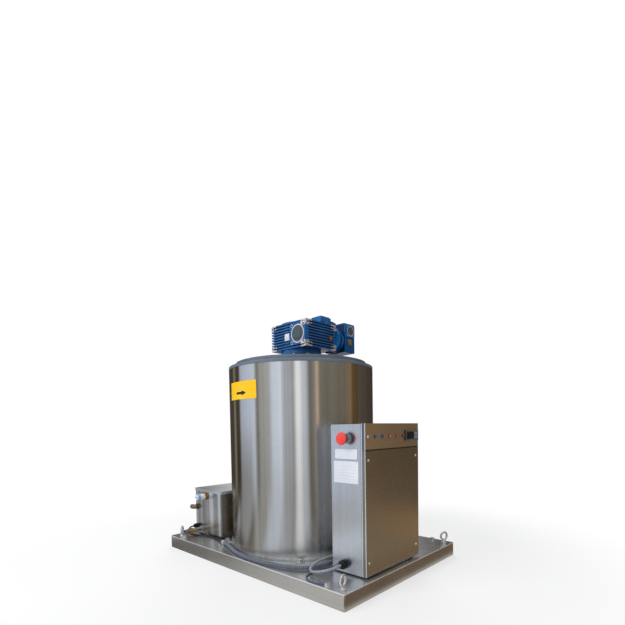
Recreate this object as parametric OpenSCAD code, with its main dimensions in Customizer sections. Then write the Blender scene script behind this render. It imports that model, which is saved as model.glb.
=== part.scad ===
// Flake ice machine: an insulated evaporator drum on a steel base tray, with its scraper, geared drive,
// water tank and control box. Millimetres, +Z up, origin at the middle of the tray's underside.
// The control box stands at the +X end and the water tank at the -X end, flush with the -Y side.

/* [Base tray] */
// Length of the base tray
base_l = 1000; // [980:5:1200]
// Width of the base tray
base_w = 680; // [676:2:900]
// Height of the base tray
base_h = 50; // [46:1:80]
// Sheet thickness of the base tray
base_t = 3; // [2:0.5:4]
// Width of the lip folded in under the tray
base_lip = 25; // [15:1:40]
// Bend radius of the tray's upright corners
base_r = 5; // [4.5:0.5:12]
// Gap between the ice outlet's edge and the bearing spider's arms
outlet_gap = 4; // [2:0.5:10]
// Width of the channel rails inside the tray
rail_w = 40; // [30:1:60]
// Wall thickness of the channel rails
rail_t = 3; // [2:0.5:5]

/* [Bolts] */
// Shank radius of the tray's and lugs' bolts
bolt_r = 5; // [4:0.5:6]
// Shank radius of the pedestal's bolts
small_bolt_r = 4; // [3:0.5:4.5]
// Inset of the tray's bolts from its ends
bolt_in_end = 82; // [78:1:95]
// Inset of the tray's bolts from its sides
bolt_in_side = 22; // [18:1:30]
// Radius of an eye bolt's ring at the middle of its wire
eye_ring_r = 15; // [12:0.5:20]
// Wire radius of an eye bolt's ring
eye_wire_r = 4; // [3:0.25:5]
// Height of the collar and neck under an eye
eye_neck_h = 9; // [7:0.5:14]
// Inset of the eye bolts from the tray's sides
eye_in_side = 28; // [24:1:40]
// Inset of the eye bolts from the control box's end
eye_in_right = 28; // [24:1:36]
// Inset of the eye bolts from the water tank's end
eye_in_left = 48; // [40:1:50]

/* [Drum] */
// Offset of the drum's axis along the tray
drum_x = -5; // [-20:0.5:12]
// Outside radius of the drum's jacket
drum_r = 293; // [270:1:296]
// Height of the drum's jacket
drum_h = 693; // [640:1:800]
// Sheet thickness of the jacket
jacket_t = 1.5; // [1:0.25:3]
// Thickness of the foot ring under the drum
foot_t = 3; // [2:0.5:6]
// Width of the lugs that hold the drum down
lug_w = 28; // [24:1:36]
// Thickness of a lug's plate
lug_t = 5; // [3:0.5:8]
// Height of a lug's upright leg
lug_leg_h = 22; // [14:1:40]
// Distance of a lug's bolt from the jacket
lug_bolt_out = 25; // [22:1:30]
// Angle of the lugs from the tray's long axis
lug_angle = 47; // [44:0.5:52]
// Inner radius of the freezing wall
evap_r = 215; // [200:1:222]
// Thickness of the freezing wall
evap_t = 11; // [9:0.5:16]
// Number of refrigerant channels round the freezing wall
channel_n = 17; // [8:1:20]
// Height of a refrigerant channel
channel_h = 26; // [12:1:30]
// Depth of a refrigerant channel
channel_d = 7; // [4:0.5:8]
// Thickness of the sleeve that closes the channels
sleeve_t = 2; // [1.5:0.5:4]
// Height of the water return trough
trough_h = 27; // [18:1:40]
// Width of the water return trough
trough_w = 18.5; // [14:0.5:24]
// Thickness of the lid's lower ring
lid_ring_t = 12; // [8:1:20]
// Inset of the lid's raised cover from the jacket
lid_step = 27; // [20:1:40]
// Thickness of the lid's raised cover
lid_cover_t = 17; // [13:1:25]
// Outside radius of the liquid line
liquid_r = 6; // [5:0.5:10]
// Outside radius of the suction line
suction_r = 14; // [11:0.5:18]
// Reach of the refrigerant pipes outside the jacket
pipe_reach = 47; // [40:1:60]

/* [Scraper] */
// Radius of the main shaft
shaft_r = 17.5; // [15:0.5:20]
// Wall thickness of the bottom bush
bush_t = 6.5; // [4:0.5:8]
// Height of the bottom bearing
bearing_h = 32; // [24:1:40]
// Gap between the blade's teeth and the freezing wall
blade_gap = 0.5; // [0.3:0.1:3]
// Gap between the top of the blade and the top of the jacket
blade_top_gap = 56; // [48:1:90]
// Depth of a blade tooth
tooth_d = 7; // [4:0.5:10]
// Pitch of the blade's teeth
tooth_pitch = 20; // [14:1:30]
// Thickness of the blade
blade_t = 10; // [6:0.5:16]
// Height of an arm that carries the blade
arm_h = 36; // [24:1:50]
// Width of an arm that carries the blade
arm_w = 16; // [10:1:24]
// Number of arms that carry the blade
arm_n = 3; // [2:1:4]
// Gap between the water pan and the freezing wall
pan_gap = 20; // [8:1:30]
// Width of the water pan's channel
pan_w = 75; // [60:1:100]
// Height of the water pan
pan_h = 25; // [18:1:30]

/* [Gearboxes] */
// Height of the pedestal between lid and gearbox
pedestal_h = 49; // [44:1:70]
// Thickness of the pedestal's flanges
pedestal_t = 12; // [8:0.5:14]
// Radius of the pedestal's lower flange
pedestal_r = 110; // [105:1:130]
// Radius of the pedestal's neck
pedestal_neck_r = 60; // [50:1:62]
// Radius of the pedestal's upper flange
pedestal_top_r = 82; // [80:1:84]
// Length of the main gearbox along its worm
main_a = 172; // [168:1:184]
// Main gearbox, output axis to its blind end
main_back = 86; // [85:1:96]
// Main gearbox, output axis to its worm end
main_front = 119; // [117:1:126]
// Thickness of the main gearbox along its output axis
main_n = 112; // [108:1:124]
// Centre distance of the main gearbox
main_cd = 75; // [73:0.5:77]
// Length of the first-stage gearbox along its worm
small_a = 100; // [96:1:110]
// First-stage gearbox, output axis to its blind end
small_back = 50; // [48:1:54]
// First-stage gearbox, output axis to its worm end
small_front = 71.5; // [69:0.5:74]
// Thickness of the first-stage gearbox along its output axis
small_n = 72; // [66:1:80]
// Centre distance of the first-stage gearbox
small_cd = 40; // [38:0.5:42]
// Length of the flange between the two gearboxes
input_flange_l = 44; // [36:1:60]
// Depth of the grooves between the gearboxes' fins
groove_d = 7; // [4:0.5:9]
// Radius of an oil plug's thread
plug_r = 6; // [5:0.5:8]

/* [Motor] */
// Radius over the motor's fins
motor_r = 61; // [58:0.5:66]
// Height of the motor's fins
motor_fin_h = 11; // [6:0.5:14]
// Length of the finned motor frame
motor_l = 108; // [100:1:140]
// Number of fins round the motor frame
motor_fins = 28; // [20:1:34]
// Thickness of the motor's end shields
shield_t = 16; // [12:1:24]
// Length of the fan cowl behind the frame
cowl_l = 56; // [48:1:70]
// Sheet thickness of the fan cowl
cowl_t = 1.5; // [1:0.25:2.5]
// Radius of the motor's shaft at the fan
rotor_r = 7; // [5:0.5:9]
// Terminal box, length along the motor
tbox_l = 68; // [60:1:80]
// Terminal box, width across the motor
tbox_w = 68; // [60:1:80]
// Height of the terminal box
tbox_h = 19; // [18:1:34]
// Thickness of the terminal box lid
tbox_lid_t = 8; // [5:0.5:14]

/* [Control box] */
// Depth of the control box, back wall to front cover
box_d = 137; // [120:1:138]
// Width of the control box
box_w = 312; // [300:1:340]
// Height of the control box
box_h = 471; // [440:1:540]
// Gap between the drum and the control box
box_gap = 55; // [50:1:70]
// Distance of the box's near side from the drum's axis
box_near_y = 212; // [206:1:226]
// Height of the rubber feet under box and tank
foot_h = 5; // [4:0.5:8]
// Radius of the rubber feet
foot_r = 9; // [6:0.5:11]
// Sheet thickness of the control box
box_t = 1.5; // [1:0.25:2]
// Depth of the covers' folded flanges
flange_d = 14; // [10:1:20]
// Height of the fascia with lamps and controller
fascia_h = 82; // [80:1:100]
// Radius of the emergency stop's mushroom head
estop_r = 20; // [17:0.5:24]
// Radius of the emergency stop's stem
estop_stem_r = 7; // [5:0.25:8]
// Height of the emergency stop's collar
estop_collar_h = 10; // [6:0.5:12]
// Travel of the emergency stop
estop_travel = 5; // [3:0.5:6]
// Distance of the first pilot lamp from the box's near side
lamp_in = 52; // [40:1:60]
// Lens radius of a pilot lamp
lamp_r = 4.5; // [3.5:0.25:6]
// Width of the temperature controller's bezel
controller_w = 78; // [70:1:80]
// Height of the temperature controller's bezel
controller_h = 36; // [32:1:40]

/* [Water tank] */
// Length of the tank
tank_l = 210; // [190:1:214]
// Length of the tank's back part, beside the drum
tank_back_l = 143; // [120:1:148]
// Width of the tank
tank_w = 314; // [290:1:340]
// Height of the tank with its lid
tank_h = 199; // [190:1:240]
// Gap between the drum and the tank's back part
tank_back_gap = 20; // [14:1:40]
// Distance of the tank's front wall from the drum's axis
tank_near_y = 239; // [232:1:246]
// Sheet thickness of the tank
tank_t = 1.5; // [1:0.25:2.5]
// Gap between the tank's slanted wall and the drum
tank_gap = 6; // [4:0.5:10]
// Skirt depth of the tank's lid
lid_skirt = 12; // [8:1:13]
// Thread radius of the water inlet
inlet_r = 10; // [8:0.5:11]
// Outside radius of the overflow elbow
overflow_r = 10; // [8:0.5:12]
// Outside radius of the drain pipe
drain_r = 9; // [7:0.5:10]
// Length of the drain pipe from the tank's wall
drain_l = 84; // [76:1:92]
// Radius of the float
float_r = 24; // [18:1:28]
// Length of the float's arm
float_arm_l = 88; // [76:1:92]
// Outside radius of the water riser pipe
riser_r = 9; // [7:0.5:11]
// Bend radius of the water riser pipe
riser_bend = 32; // [26:1:40]
// Height of the riser's straight part above the lid
riser_over = 5; // [2:1:12]

/* [Cables and conduits] */
// Radius of the pump's cable
cable_r = 3; // [2:0.25:3.5]
// Radius of the pump's conduit
pump_conduit_r = 7; // [5:0.25:7.25]
// Radius of the motor's conduit
motor_conduit_r = 5; // [4:0.25:5.5]
// Radius of the earth wire
earth_r = 2; // [1.5:0.25:2.5]

/* [Hidden] */
$fn = 64;
// Overlap that carries a cut past a face
eps = 0.1;
// Radial clearance of a running shaft
run = 0.05;
// Clearance between curved pieces that are fixed together
snug = 0.2;
// Clearance of holes round bolts, pipes and stems
clear = 0.4;

// Heights from the floor up
drum_z = base_h + foot_t;
drum_top = drum_z + drum_h;
lid_top = drum_top + lid_ring_t + lid_cover_t;
main_z0 = lid_top + pedestal_h;
main_z = main_z0 + main_n / 2;

// Bolts: head and nut sizes follow the shank's radius
function hex_r(r) = 1.963 * r;
function head_h(r) = 1.28 * r;
function nut_h(r) = 1.6 * r;
function washer_r(r) = 2.1 * r;
function washer_t(r) = 0.4 * r;
tray_bolt_x = base_l / 2 - bolt_in_end;
tray_bolt_y = base_w / 2 - bolt_in_side;
lug_bolt_r = drum_r + lug_bolt_out;
lug_angles = [lug_angle, 180 - lug_angle, 180 + lug_angle, -lug_angle];

// Eye bolts [x, y, direction that the ring faces]
eye_y = base_w / 2 - eye_in_side;
eyes = [
    [base_l / 2 - eye_in_right, -eye_y, 12],
    [base_l / 2 - eye_in_right, eye_y, -20],
    [-base_l / 2 + eye_in_left, -eye_y, 50],
    [-base_l / 2 + eye_in_left, eye_y, 30]
];

// Drum section, from the freezing wall outwards
evap_out = evap_r + evap_t;
sleeve_in = evap_out + snug;
sleeve_out = sleeve_in + sleeve_t;
jacket_in = drum_r - jacket_t;
trough_in = evap_r - snug - trough_w;
spider_r = trough_in + 12;
outlet_r = spider_r + outlet_gap;
lid_cover_r = drum_r - lid_step;
pipe_angle = 125;
liquid_z = drum_z + 67;
suction_z = drum_top - 106;

// Scraper
bush_out = shaft_r + run + bush_t;
bearing_z = base_h - 16;
spider_arm_t = 12;
shaft_hole_r = shaft_r + 12;
blade_z = drum_z + trough_h + 20;
blade_h = drum_top - blade_top_gap - blade_z;
blade_tip = evap_r - blade_gap;
blade_back = blade_tip - tooth_d - 24;
arm_end = 60;
arm_gap = (blade_h - 2 * arm_end) / (arm_n - 1);
pan_z = blade_z + blade_h + 10;
pan_r = evap_r - pan_gap;
sheet_t = 2;

// Drive
boss_out = 5;
fin_t = 5;
main_pad = 31;
main_boss = 84;
small_pad = 21;
small_boss = 52;
small_out_r = 44;
case_edge_r = 5;
worm_x = drum_x + main_cd;
small_y = main_a / 2 + input_flange_l + small_n / 2;
motor_z = main_z + small_cd;
motor_x = worm_x - small_a / 2;
frame_x = motor_x - shield_t;
cowl_x = frame_x - motor_l;
tbox_x = frame_x - 17 - tbox_l / 2;
tbox_z = motor_z + motor_r;
pedestal_bolt_r = pedestal_r - 15;
case_bolt_r = pedestal_top_r - 10;
pedestal_bolts = [0 : 60 : 300];
case_bolts = [22.5 : 45 : 337.5];
cap_r = 31;
small_cap_r = 18;
worm_flange_t = 5;
// Oil plugs [place on the grooves' floor, turn that points them outwards]
plugs = [
    [[drum_x + main_front - groove_d, 52, main_z - 4], [0, 90, 0]],
    [[drum_x - main_back + groove_d, -40, main_z - 4], [0, -90, 0]]
];
plug_spot_r = hex_r(plug_r) + 1;

// Control box
box_x0 = drum_x + drum_r + box_gap;
box_x1 = box_x0 + box_d;
box_y0 = -box_near_y;
box_y1 = box_y0 + box_w;
box_z0 = base_h + foot_h;
box_z1 = box_z0 + box_h;
body_in = box_t + snug;
body_y0 = box_y0 + body_in;
body_y1 = box_y1 - body_in;
rim_x = box_x1 - body_in;
rim_w = 22;
seam_z = box_z1 - fascia_h;
seam_gap = 1;
lamp_z = seam_z + fascia_h / 2;
lamp_y = box_y0 + lamp_in;
lamp_n = 5;
controller_edge = 9;
lamp_gap = 13;
lamp_pitch = (box_w - lamp_in - lamp_gap - controller_w - controller_edge) / (lamp_n - 1);
controller_y = box_y1 - controller_edge - controller_w / 2;
controller_in = 3.5;
estop_at = [box_x0 + 62, body_y0, box_z1 - 46];
estop_neck_r = 11;
estop_collar_r = 15;
estop_gap = 1;
estop_stem_in = 16;
estop_face = estop_collar_h + estop_travel + estop_gap;
screw_r = 2.5;
screw_y = [box_y0 + 17, box_y1 - 18];
cover_screws_at = [for (y = screw_y, z = [box_z0 + 42, seam_z - 31]) [y, z]];
fascia_screw = [screw_y[0], lamp_z];
plate_x = box_x0 + box_t + 10;
din_up = 210;
din_h = 35;
din_d = 7;

// Cable glands: length outside the wall, and radius of the tail through it
gland_l = 25;
small_gland_l = 20;
tail_r = 6;
box_gland = [box_x0 + 52, body_y0, box_z0 + 27];
elbow_r = 9.5;
elbow_bend = 16;
elbow_at = [box_x0, box_y0 + 94, base_h + 12];
elbow_out = 29;
stud_r = 3;
stud_at = [box_x0, box_y0 + 32, base_h + 22];
motor_gland = [tbox_x - 13, small_y + tbox_w / 2, tbox_z + tbox_h / 2];

// Water tank
tank_x0 = drum_x - drum_r - tank_back_gap - tank_back_l;
tank_y0 = -tank_near_y;
tank_z0 = base_h + foot_h;
tank_top = tank_z0 + tank_h;
tank_in = tank_t + snug;
wall_y = tank_y0 + tank_in;
slant_angle = 203.4;
tank_gland = [tank_x0 + 11, wall_y, tank_z0 + 29];
inlet_x = tank_x0 + 85;
inlet_z = tank_top - 31;
overflow_at = [tank_x0 + tank_in + tank_t + overflow_r + 1, wall_y, tank_top - 84];
drain_at = [tank_x0 + 48, wall_y, tank_z0 + 20];
pivot_r = 2;
pivot_at = [inlet_x, tank_y0 + 36, inlet_z - 14];
float_drop = 40;
pump_at = [tank_x0 + 61, tank_y0 + 239, tank_z0 + tank_t];
pump_r = 34;
riser_at = [tank_x0 + 116, tank_y0 + 284];
riser_in_r = pan_r - pan_w / 2;
riser_angle = atan2(riser_at[1], riser_at[0] - drum_x);
riser_run = norm([riser_at[0] - drum_x, riser_at[1]]) - riser_in_r;
riser_z = lid_top + riser_over + riser_bend;

// Route of the pump's cable from the tank's gland to its conduit
cable_route = [
    tank_gland - [0, small_gland_l, 0], [-450, -272, 82], [-446, -283, 76], [-438, -288, 66],
    [-427, -284, 57], [-412, -275, 53.5], [-392, -264, 53.5], [-368, -255, 53.5], [-342, -250, 53.5],
    [-312, -248, 53.5], [-282, -250, 53.5], [-254, -256, 53.5], [-228, -263, 55], [-205, -268, 57.5]
];
// Route of the pump's conduit round the drum to the elbow behind the control box
pump_route = [
    [-205, -268, 57.5], [-175, -274, 57.5], [-138, -284, 57.5], [-100, -297, 57.5], [-60, -310, 57.5],
    [-20, -319, 57.5], [22, -325, 57.5], [66, -327, 57.5], [110, -325, 57.5], [152, -318, 57.5],
    [193, -309, 57.5], [230, -298, 57.5], [260, -282, 57.5], [282, -258, 57.5], [297, -228, 57.5],
    [307, -195, 59], [313, -165, 61], elbow_at - [elbow_out, elbow_bend + 14, 0]
];
// Route of the motor's conduit behind the control box, round the drum and up to the motor
motor_route = [
    box_gland - [0, gland_l, 0], [394, -253, 81], [385, -271, 77], [369, -285, 72], [349, -292, 67],
    [328, -292, 64], [311, -282, 65], [303, -265, 70], [302, -245, 76], [305, -222, 80],
    [310, -195, 82], [315, -165, 83], [317, -125, 83], [319, -65, 80], [320, 0, 77], [319, 55, 71],
    [314, 98, 64], [303, 140, 58], [283, 180, 55.5], [257, 218, 55.5], [226, 255, 55.5],
    [185, 280, 55.5], [140, 296, 55.5], [95, 306, 55.5], [50, 312, 56], [8, 312, 59], [-24, 306, 69],
    [-46, 300, 89], [-57, 297, 120], [-60, 296, 160], [-60, 296, 300], [-60, 296, 440],
    [-60, 296, 580], [-60, 296, 720], [-60, 294, 760], [-60, 288, 790], [-60, 279, 825],
    [-60, 271, 862], [-60, 266, 900], [-60, 261, 934], [-60, 251, 963], [-60, 236, 984],
    motor_gland + [0, small_gland_l, 0]
];
// Route of the earth wire from a tray bolt, under the motor's conduit, to the box's stud
earth_route = [
    [407.5, -321, 53], [394, -327, 52.5], [378, -331, 52.5], [360, -331, 52.5], [341, -326, 52.5],
    [325, -315, 52.5], [315, -298, 52.5], [314, -276, 52.5], [320, -253, 52.5], [327, -230, 53],
    [332, -208, 57], [335.5, -195, 63.5], [339.5, -185.5, 69.8]
];
clip_x = -60;
clip_y = 296;
clip_levels = [for (part = [0.212, 0.573, 0.933]) drum_z + part * drum_h];

// Colours
steel = [0.74, 0.74, 0.72];
dark_steel = [0.36, 0.36, 0.38];
zinc = [0.82, 0.82, 0.84];
lid_grey = [0.42, 0.46, 0.52];
gear_blue = [0.05, 0.36, 0.68];
bare_cast = [0.80, 0.78, 0.75];
black = [0.07, 0.07, 0.08];
brass = [0.78, 0.62, 0.30];
copper = [0.76, 0.46, 0.30];

// Shapes that several pieces share

module along_x(p) { translate(p) rotate([0, 90, 0]) children(); }
module along_minus_x(p) { translate(p) rotate([0, -90, 0]) children(); }
module along_y(p) { translate(p) rotate([-90, 0, 0]) children(); }
module along_minus_y(p) { translate(p) rotate([90, 0, 0]) children(); }
module on_drum_axis(z) { translate([drum_x, 0, z]) children(); }

module tube(r_out, r_in, h) {
    difference() {
        cylinder(r = r_out, h = h);
        translate([0, 0, -eps]) cylinder(r = r_in, h = h + 2 * eps);
    }
}

// A drilled hole that starts at the origin and runs down
module hole(r, depth) { translate([0, 0, -depth]) cylinder(r = r, h = depth + eps); }

module rounded_slab(l, w, h, r) {
    linear_extrude(height = h) {
        square([l - 2 * r, w], center = true);
        square([l, w - 2 * r], center = true);
        for (sx = [-1, 1], sy = [-1, 1])
            translate([sx * (l / 2 - r), sy * (w / 2 - r)]) circle(r = r);
    }
}

// A hexagon bolt on its washer, seated at the origin with its shank down
module bolt(r, shank_l) {
    cylinder(r = washer_r(r), h = washer_t(r));
    translate([0, 0, washer_t(r)]) cylinder(r = hex_r(r), h = head_h(r), $fn = 6);
    translate([0, 0, -shank_l]) cylinder(r = r, h = shank_l + washer_t(r));
}

module bolt_and_nut(r, grip) {
    bolt(r, grip + nut_h(r) + 0.5 * r);
    translate([0, 0, -grip - nut_h(r)]) cylinder(r = hex_r(r), h = nut_h(r), $fn = 6);
}

module at_tray_bolts() {
    for (sx = [-1, 1], sy = [-1, 1]) translate([sx * tray_bolt_x, sy * tray_bolt_y, 0]) children();
}

module at_lugs() {
    for (a = lug_angles) translate([drum_x, 0, 0]) rotate(a) children();
}

module at_eyes() {
    for (e = eyes) translate([e[0], e[1], 0]) rotate(e[2]) children();
}

// Base

module base_tray() color(steel) difference() {
    rounded_slab(base_l, base_w, base_h, base_r);
    translate([0, 0, base_t])
        rounded_slab(base_l - 2 * base_t, base_w - 2 * base_t, base_h - 2 * base_t, base_r - base_t + 1);
    translate([0, 0, -eps])
        rounded_slab(base_l - 2 * base_lip, base_w - 2 * base_lip, base_t + 2 * eps, base_r);
    on_drum_axis(base_h) hole(outlet_r, base_t + eps);
    translate([0, 0, base_h]) {
        at_tray_bolts() hole(bolt_r + clear, base_t + eps);
        at_lugs() translate([lug_bolt_r, 0, 0]) hole(bolt_r + clear, base_t + eps);
        at_eyes() hole(eye_wire_r + clear, base_t + eps);
    }
}

// Channels across the tray, open inwards, standing on its lips
module base_rails() color(dark_steel) {
    rail_h = base_h - 2 * base_t;
    rail_l = base_w - 2 * base_t - 2;
    for (turn = [0, 180]) rotate(turn) translate([tray_bolt_x, 0, base_t]) difference() {
        translate([-rail_w / 2, -rail_l / 2, 0]) cube([rail_w, rail_l, rail_h]);
        translate([-rail_w / 2 - rail_t, -rail_l / 2 - eps, rail_t])
            cube([rail_w, rail_l + 2 * eps, rail_h - 2 * rail_t]);
        for (sy = [-1, 1])
            translate([0, sy * tray_bolt_y, rail_h]) hole(bolt_r + clear, rail_t + eps);
    }
}

module eye_bolt() {
    flange_h = 0.45 * eye_neck_h;
    shank = base_t + nut_h(eye_wire_r) + 4;
    cylinder(r = 2.7 * eye_wire_r, h = flange_h);
    cylinder(r1 = 2.2 * eye_wire_r, r2 = 1.5 * eye_wire_r, h = eye_neck_h + eye_wire_r);
    translate([0, 0, eye_neck_h + eye_ring_r + eye_wire_r / 2])
        rotate([0, 90, 0]) rotate_extrude() translate([eye_ring_r, 0]) circle(r = eye_wire_r);
    translate([0, 0, -shank]) cylinder(r = eye_wire_r, h = shank + eps);
    translate([0, 0, -base_t - nut_h(eye_wire_r)])
        cylinder(r = hex_r(eye_wire_r), h = nut_h(eye_wire_r), $fn = 6);
}

module eye_bolts() color(zinc) translate([0, 0, base_h]) at_eyes() eye_bolt();

module hex_bolts() color(zinc) {
    translate([0, 0, base_h]) at_tray_bolts() bolt_and_nut(bolt_r, base_t + rail_t);
    translate([0, 0, base_h + lug_t]) at_lugs()
        translate([lug_bolt_r, 0, 0]) bolt_and_nut(bolt_r, lug_t + base_t);
    for (a = pedestal_bolts) on_drum_axis(lid_top + pedestal_t) rotate(a)
        translate([pedestal_bolt_r, 0, 0]) bolt(small_bolt_r, pedestal_t + 8);
    for (a = case_bolts) on_drum_axis(main_z0 - pedestal_t) rotate(a)
        translate([case_bolt_r, 0, 0]) rotate([180, 0, 0]) bolt(small_bolt_r, pedestal_t + 10);
    along_minus_x(stud_at) bolt(stud_r, 8);
}

module rubber_feet() color(black) translate([0, 0, base_h]) {
    for (x = [box_x0 + 20, box_x1 - 24], y = [box_y0 + 20, box_y1 - 20])
        translate([x, y, 0]) cylinder(r = foot_r, h = foot_h);
    for (p = [[20, 20], [tank_l - 20, 20], [20, tank_w - 20], [tank_back_l - 20, tank_w - 20]])
        translate([tank_x0 + p[0], tank_y0 + p[1], 0]) cylinder(r = foot_r, h = foot_h);
}

// Drum

module at_pipes() {
    for (p = [[liquid_r, liquid_z], [suction_r, suction_z]])
        translate([drum_x, 0, p[1]]) rotate(pipe_angle) rotate([0, 90, 0]) {
            $pipe_r = p[0];
            children();
        }
}

module pipe_holes(from_r) {
    at_pipes() translate([0, 0, from_r]) cylinder(r = $pipe_r + clear, h = drum_r - from_r + eps);
}

module drum_foot_ring() color(dark_steel) on_drum_axis(base_h) tube(drum_r, trough_in, foot_t);

// Angle brackets whose inner edge follows the jacket
module drum_lugs() color(dark_steel) difference() {
    translate([0, 0, base_h]) at_lugs() translate([drum_r - 4, -lug_w / 2, 0]) {
        cube([lug_bolt_out + 20, lug_w, lug_t]);
        cube([4 + lug_t, lug_w, lug_leg_h]);
    }
    on_drum_axis(base_h - eps) cylinder(r = drum_r + snug, h = lug_leg_h + 1, $fn = 720);
    translate([0, 0, base_h + lug_t]) at_lugs()
        translate([lug_bolt_r, 0, 0]) hole(bolt_r + clear, lug_t + eps);
}

module drum_jacket() color(steel) difference() {
    on_drum_axis(drum_z) tube(drum_r, jacket_in, drum_h);
    pipe_holes(evap_out);
}

module drum_insulation() color([0.93, 0.88, 0.66]) difference() {
    on_drum_axis(drum_z) tube(jacket_in - snug, sleeve_out + snug, drum_h);
    pipe_holes(evap_out);
}

// The freezing wall with ring channels turned into its outside
module evaporator_wall() color(zinc) {
    land = (drum_h - channel_n * channel_h) / (channel_n + 1);
    floor_r = evap_out - channel_d;
    notches = [for (i = [0 : channel_n - 1], k = [0 : 3])
        let (z = land + i * (land + channel_h))
        [k == 1 || k == 2 ? floor_r : evap_out, k < 2 ? z : z + channel_h]];
    on_drum_axis(drum_z) rotate_extrude()
        polygon(concat([[evap_r, 0], [evap_out, 0]], notches, [[evap_out, drum_h], [evap_r, drum_h]]));
}

module evaporator_sleeve() color(zinc) difference() {
    on_drum_axis(drum_z) tube(sleeve_out, sleeve_in, drum_h);
    pipe_holes(evap_out - channel_d);
}

module water_trough() color(steel) on_drum_axis(drum_z) difference() {
    tube(evap_r - snug, trough_in, trough_h);
    translate([0, 0, sheet_t]) tube(evap_r - snug - sheet_t, trough_in + sheet_t, trough_h);
}

// Three arms under the foot ring that carry the bottom bearing
module bearing_spider() color(dark_steel) on_drum_axis(0) difference() {
    union() {
        translate([0, 0, bearing_z]) cylinder(r = bush_out + 10, h = bearing_h);
        for (a = [60, 180, 300]) rotate(a)
            translate([0, -14, base_h - spider_arm_t]) cube([spider_r, 28, spider_arm_t]);
    }
    translate([0, 0, bearing_z - eps]) cylinder(r = bush_out + snug, h = bearing_h + 2 * eps);
}

module bottom_bush() color(brass) on_drum_axis(bearing_z) tube(bush_out, shaft_r + run, bearing_h);

module lid_ring() color(lid_grey) on_drum_axis(drum_top) tube(drum_r, trough_in, lid_ring_t);

module lid_cover() color(lid_grey) difference() {
    on_drum_axis(lid_top - lid_cover_t) tube(lid_cover_r, shaft_hole_r, lid_cover_t);
    on_drum_axis(lid_top) rotate(riser_angle)
        translate([riser_in_r, 0, 0]) hole(riser_r + clear, lid_cover_t + eps);
    for (a = pedestal_bolts) on_drum_axis(lid_top) rotate(a)
        translate([pedestal_bolt_r, 0, 0]) hole(small_bolt_r + clear, 9);
}

// Open copper stubs with a union nut each
module refrigerant_pipes() color(copper) at_pipes() translate([0, 0, sleeve_in]) {
    reach = drum_r + pipe_reach - sleeve_in;
    difference() {
        union() {
            cylinder(r = $pipe_r, h = reach);
            translate([0, 0, reach - 26]) cylinder(r = 1.4 * $pipe_r, h = 14, $fn = 6);
        }
        translate([0, 0, -eps]) cylinder(r = $pipe_r - 1.2, h = reach + 2 * eps);
    }
}

// Scraper

module main_shaft() color(zinc) on_drum_axis(bearing_z)
    cylinder(r = shaft_r, h = main_z0 + main_n - 6 - bearing_z);

// Clamp hubs on the shaft, each with a tapering arm to the blade
module scraper_arms() color(steel)
    for (i = [0 : arm_n - 1]) on_drum_axis(blade_z + arm_end - arm_h / 2 + i * arm_gap) difference() {
        union() {
            cylinder(r = shaft_r + 15, h = arm_h);
            rotate([90, 0, 0]) translate([0, 0, -arm_w / 2]) linear_extrude(height = arm_w)
                polygon([[0, 0], [blade_back, arm_h / 4], [blade_back, arm_h * 3 / 4], [0, arm_h]]);
        }
        translate([0, 0, -eps]) cylinder(r = shaft_r + snug, h = arm_h + 2 * eps);
    }

// A spine with raked teeth along its outer edge
module ice_blade() color(zinc) {
    teeth = floor(blade_h / tooth_pitch);
    spine_w = blade_tip - tooth_d - blade_back;
    reach = tooth_d + eps;
    tooth = [[0, 0], [reach, 0.65 * tooth_pitch], [reach, 0.9 * tooth_pitch], [0, tooth_pitch]];
    translate([drum_x + blade_back, blade_t / 2, blade_z]) rotate([90, 0, 0])
        linear_extrude(height = blade_t) {
            square([spine_w, blade_h]);
            for (i = [0 : teeth - 1]) translate([spine_w - eps, i * tooth_pitch]) polygon(tooth);
        }
}

// A ring channel on three spokes, with outlets towards the freezing wall
module water_pan() color(steel) on_drum_axis(pan_z) difference() {
    union() {
        tube(pan_r, pan_r - pan_w, pan_h);
        for (a = [0, 120, 240]) rotate(a) translate([0, -8, 0]) cube([pan_r - pan_w + 1, 16, 6]);
        cylinder(r = shaft_r + 12, h = pan_h);
    }
    translate([0, 0, sheet_t]) tube(pan_r - sheet_t, pan_r - pan_w + sheet_t, pan_h);
    translate([0, 0, -eps]) cylinder(r = shaft_r + snug, h = pan_h + 2 * eps);
    for (a = [15 : 30 : 345]) rotate(a)
        translate([pan_r - 2 * sheet_t, 0, 6]) rotate([0, 90, 0]) cylinder(r = 2.5, h = 3 * sheet_t);
}

// Gearboxes

module gearbox_pedestal() color(dark_steel) on_drum_axis(lid_top) difference() {
    union() {
        cylinder(r = pedestal_r, h = pedestal_t);
        cylinder(r = pedestal_neck_r, h = pedestal_h);
        translate([0, 0, pedestal_h - pedestal_t]) cylinder(r = pedestal_top_r, h = pedestal_t);
    }
    translate([0, 0, -eps]) cylinder(r = shaft_hole_r, h = pedestal_h + 2 * eps);
    for (a = pedestal_bolts) rotate(a)
        translate([pedestal_bolt_r, 0, pedestal_t]) hole(small_bolt_r + clear, pedestal_t + eps);
    for (a = case_bolts) rotate(a)
        translate([case_bolt_r, 0, pedestal_h]) hole(small_bolt_r + clear, pedestal_t + eps);
}

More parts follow.
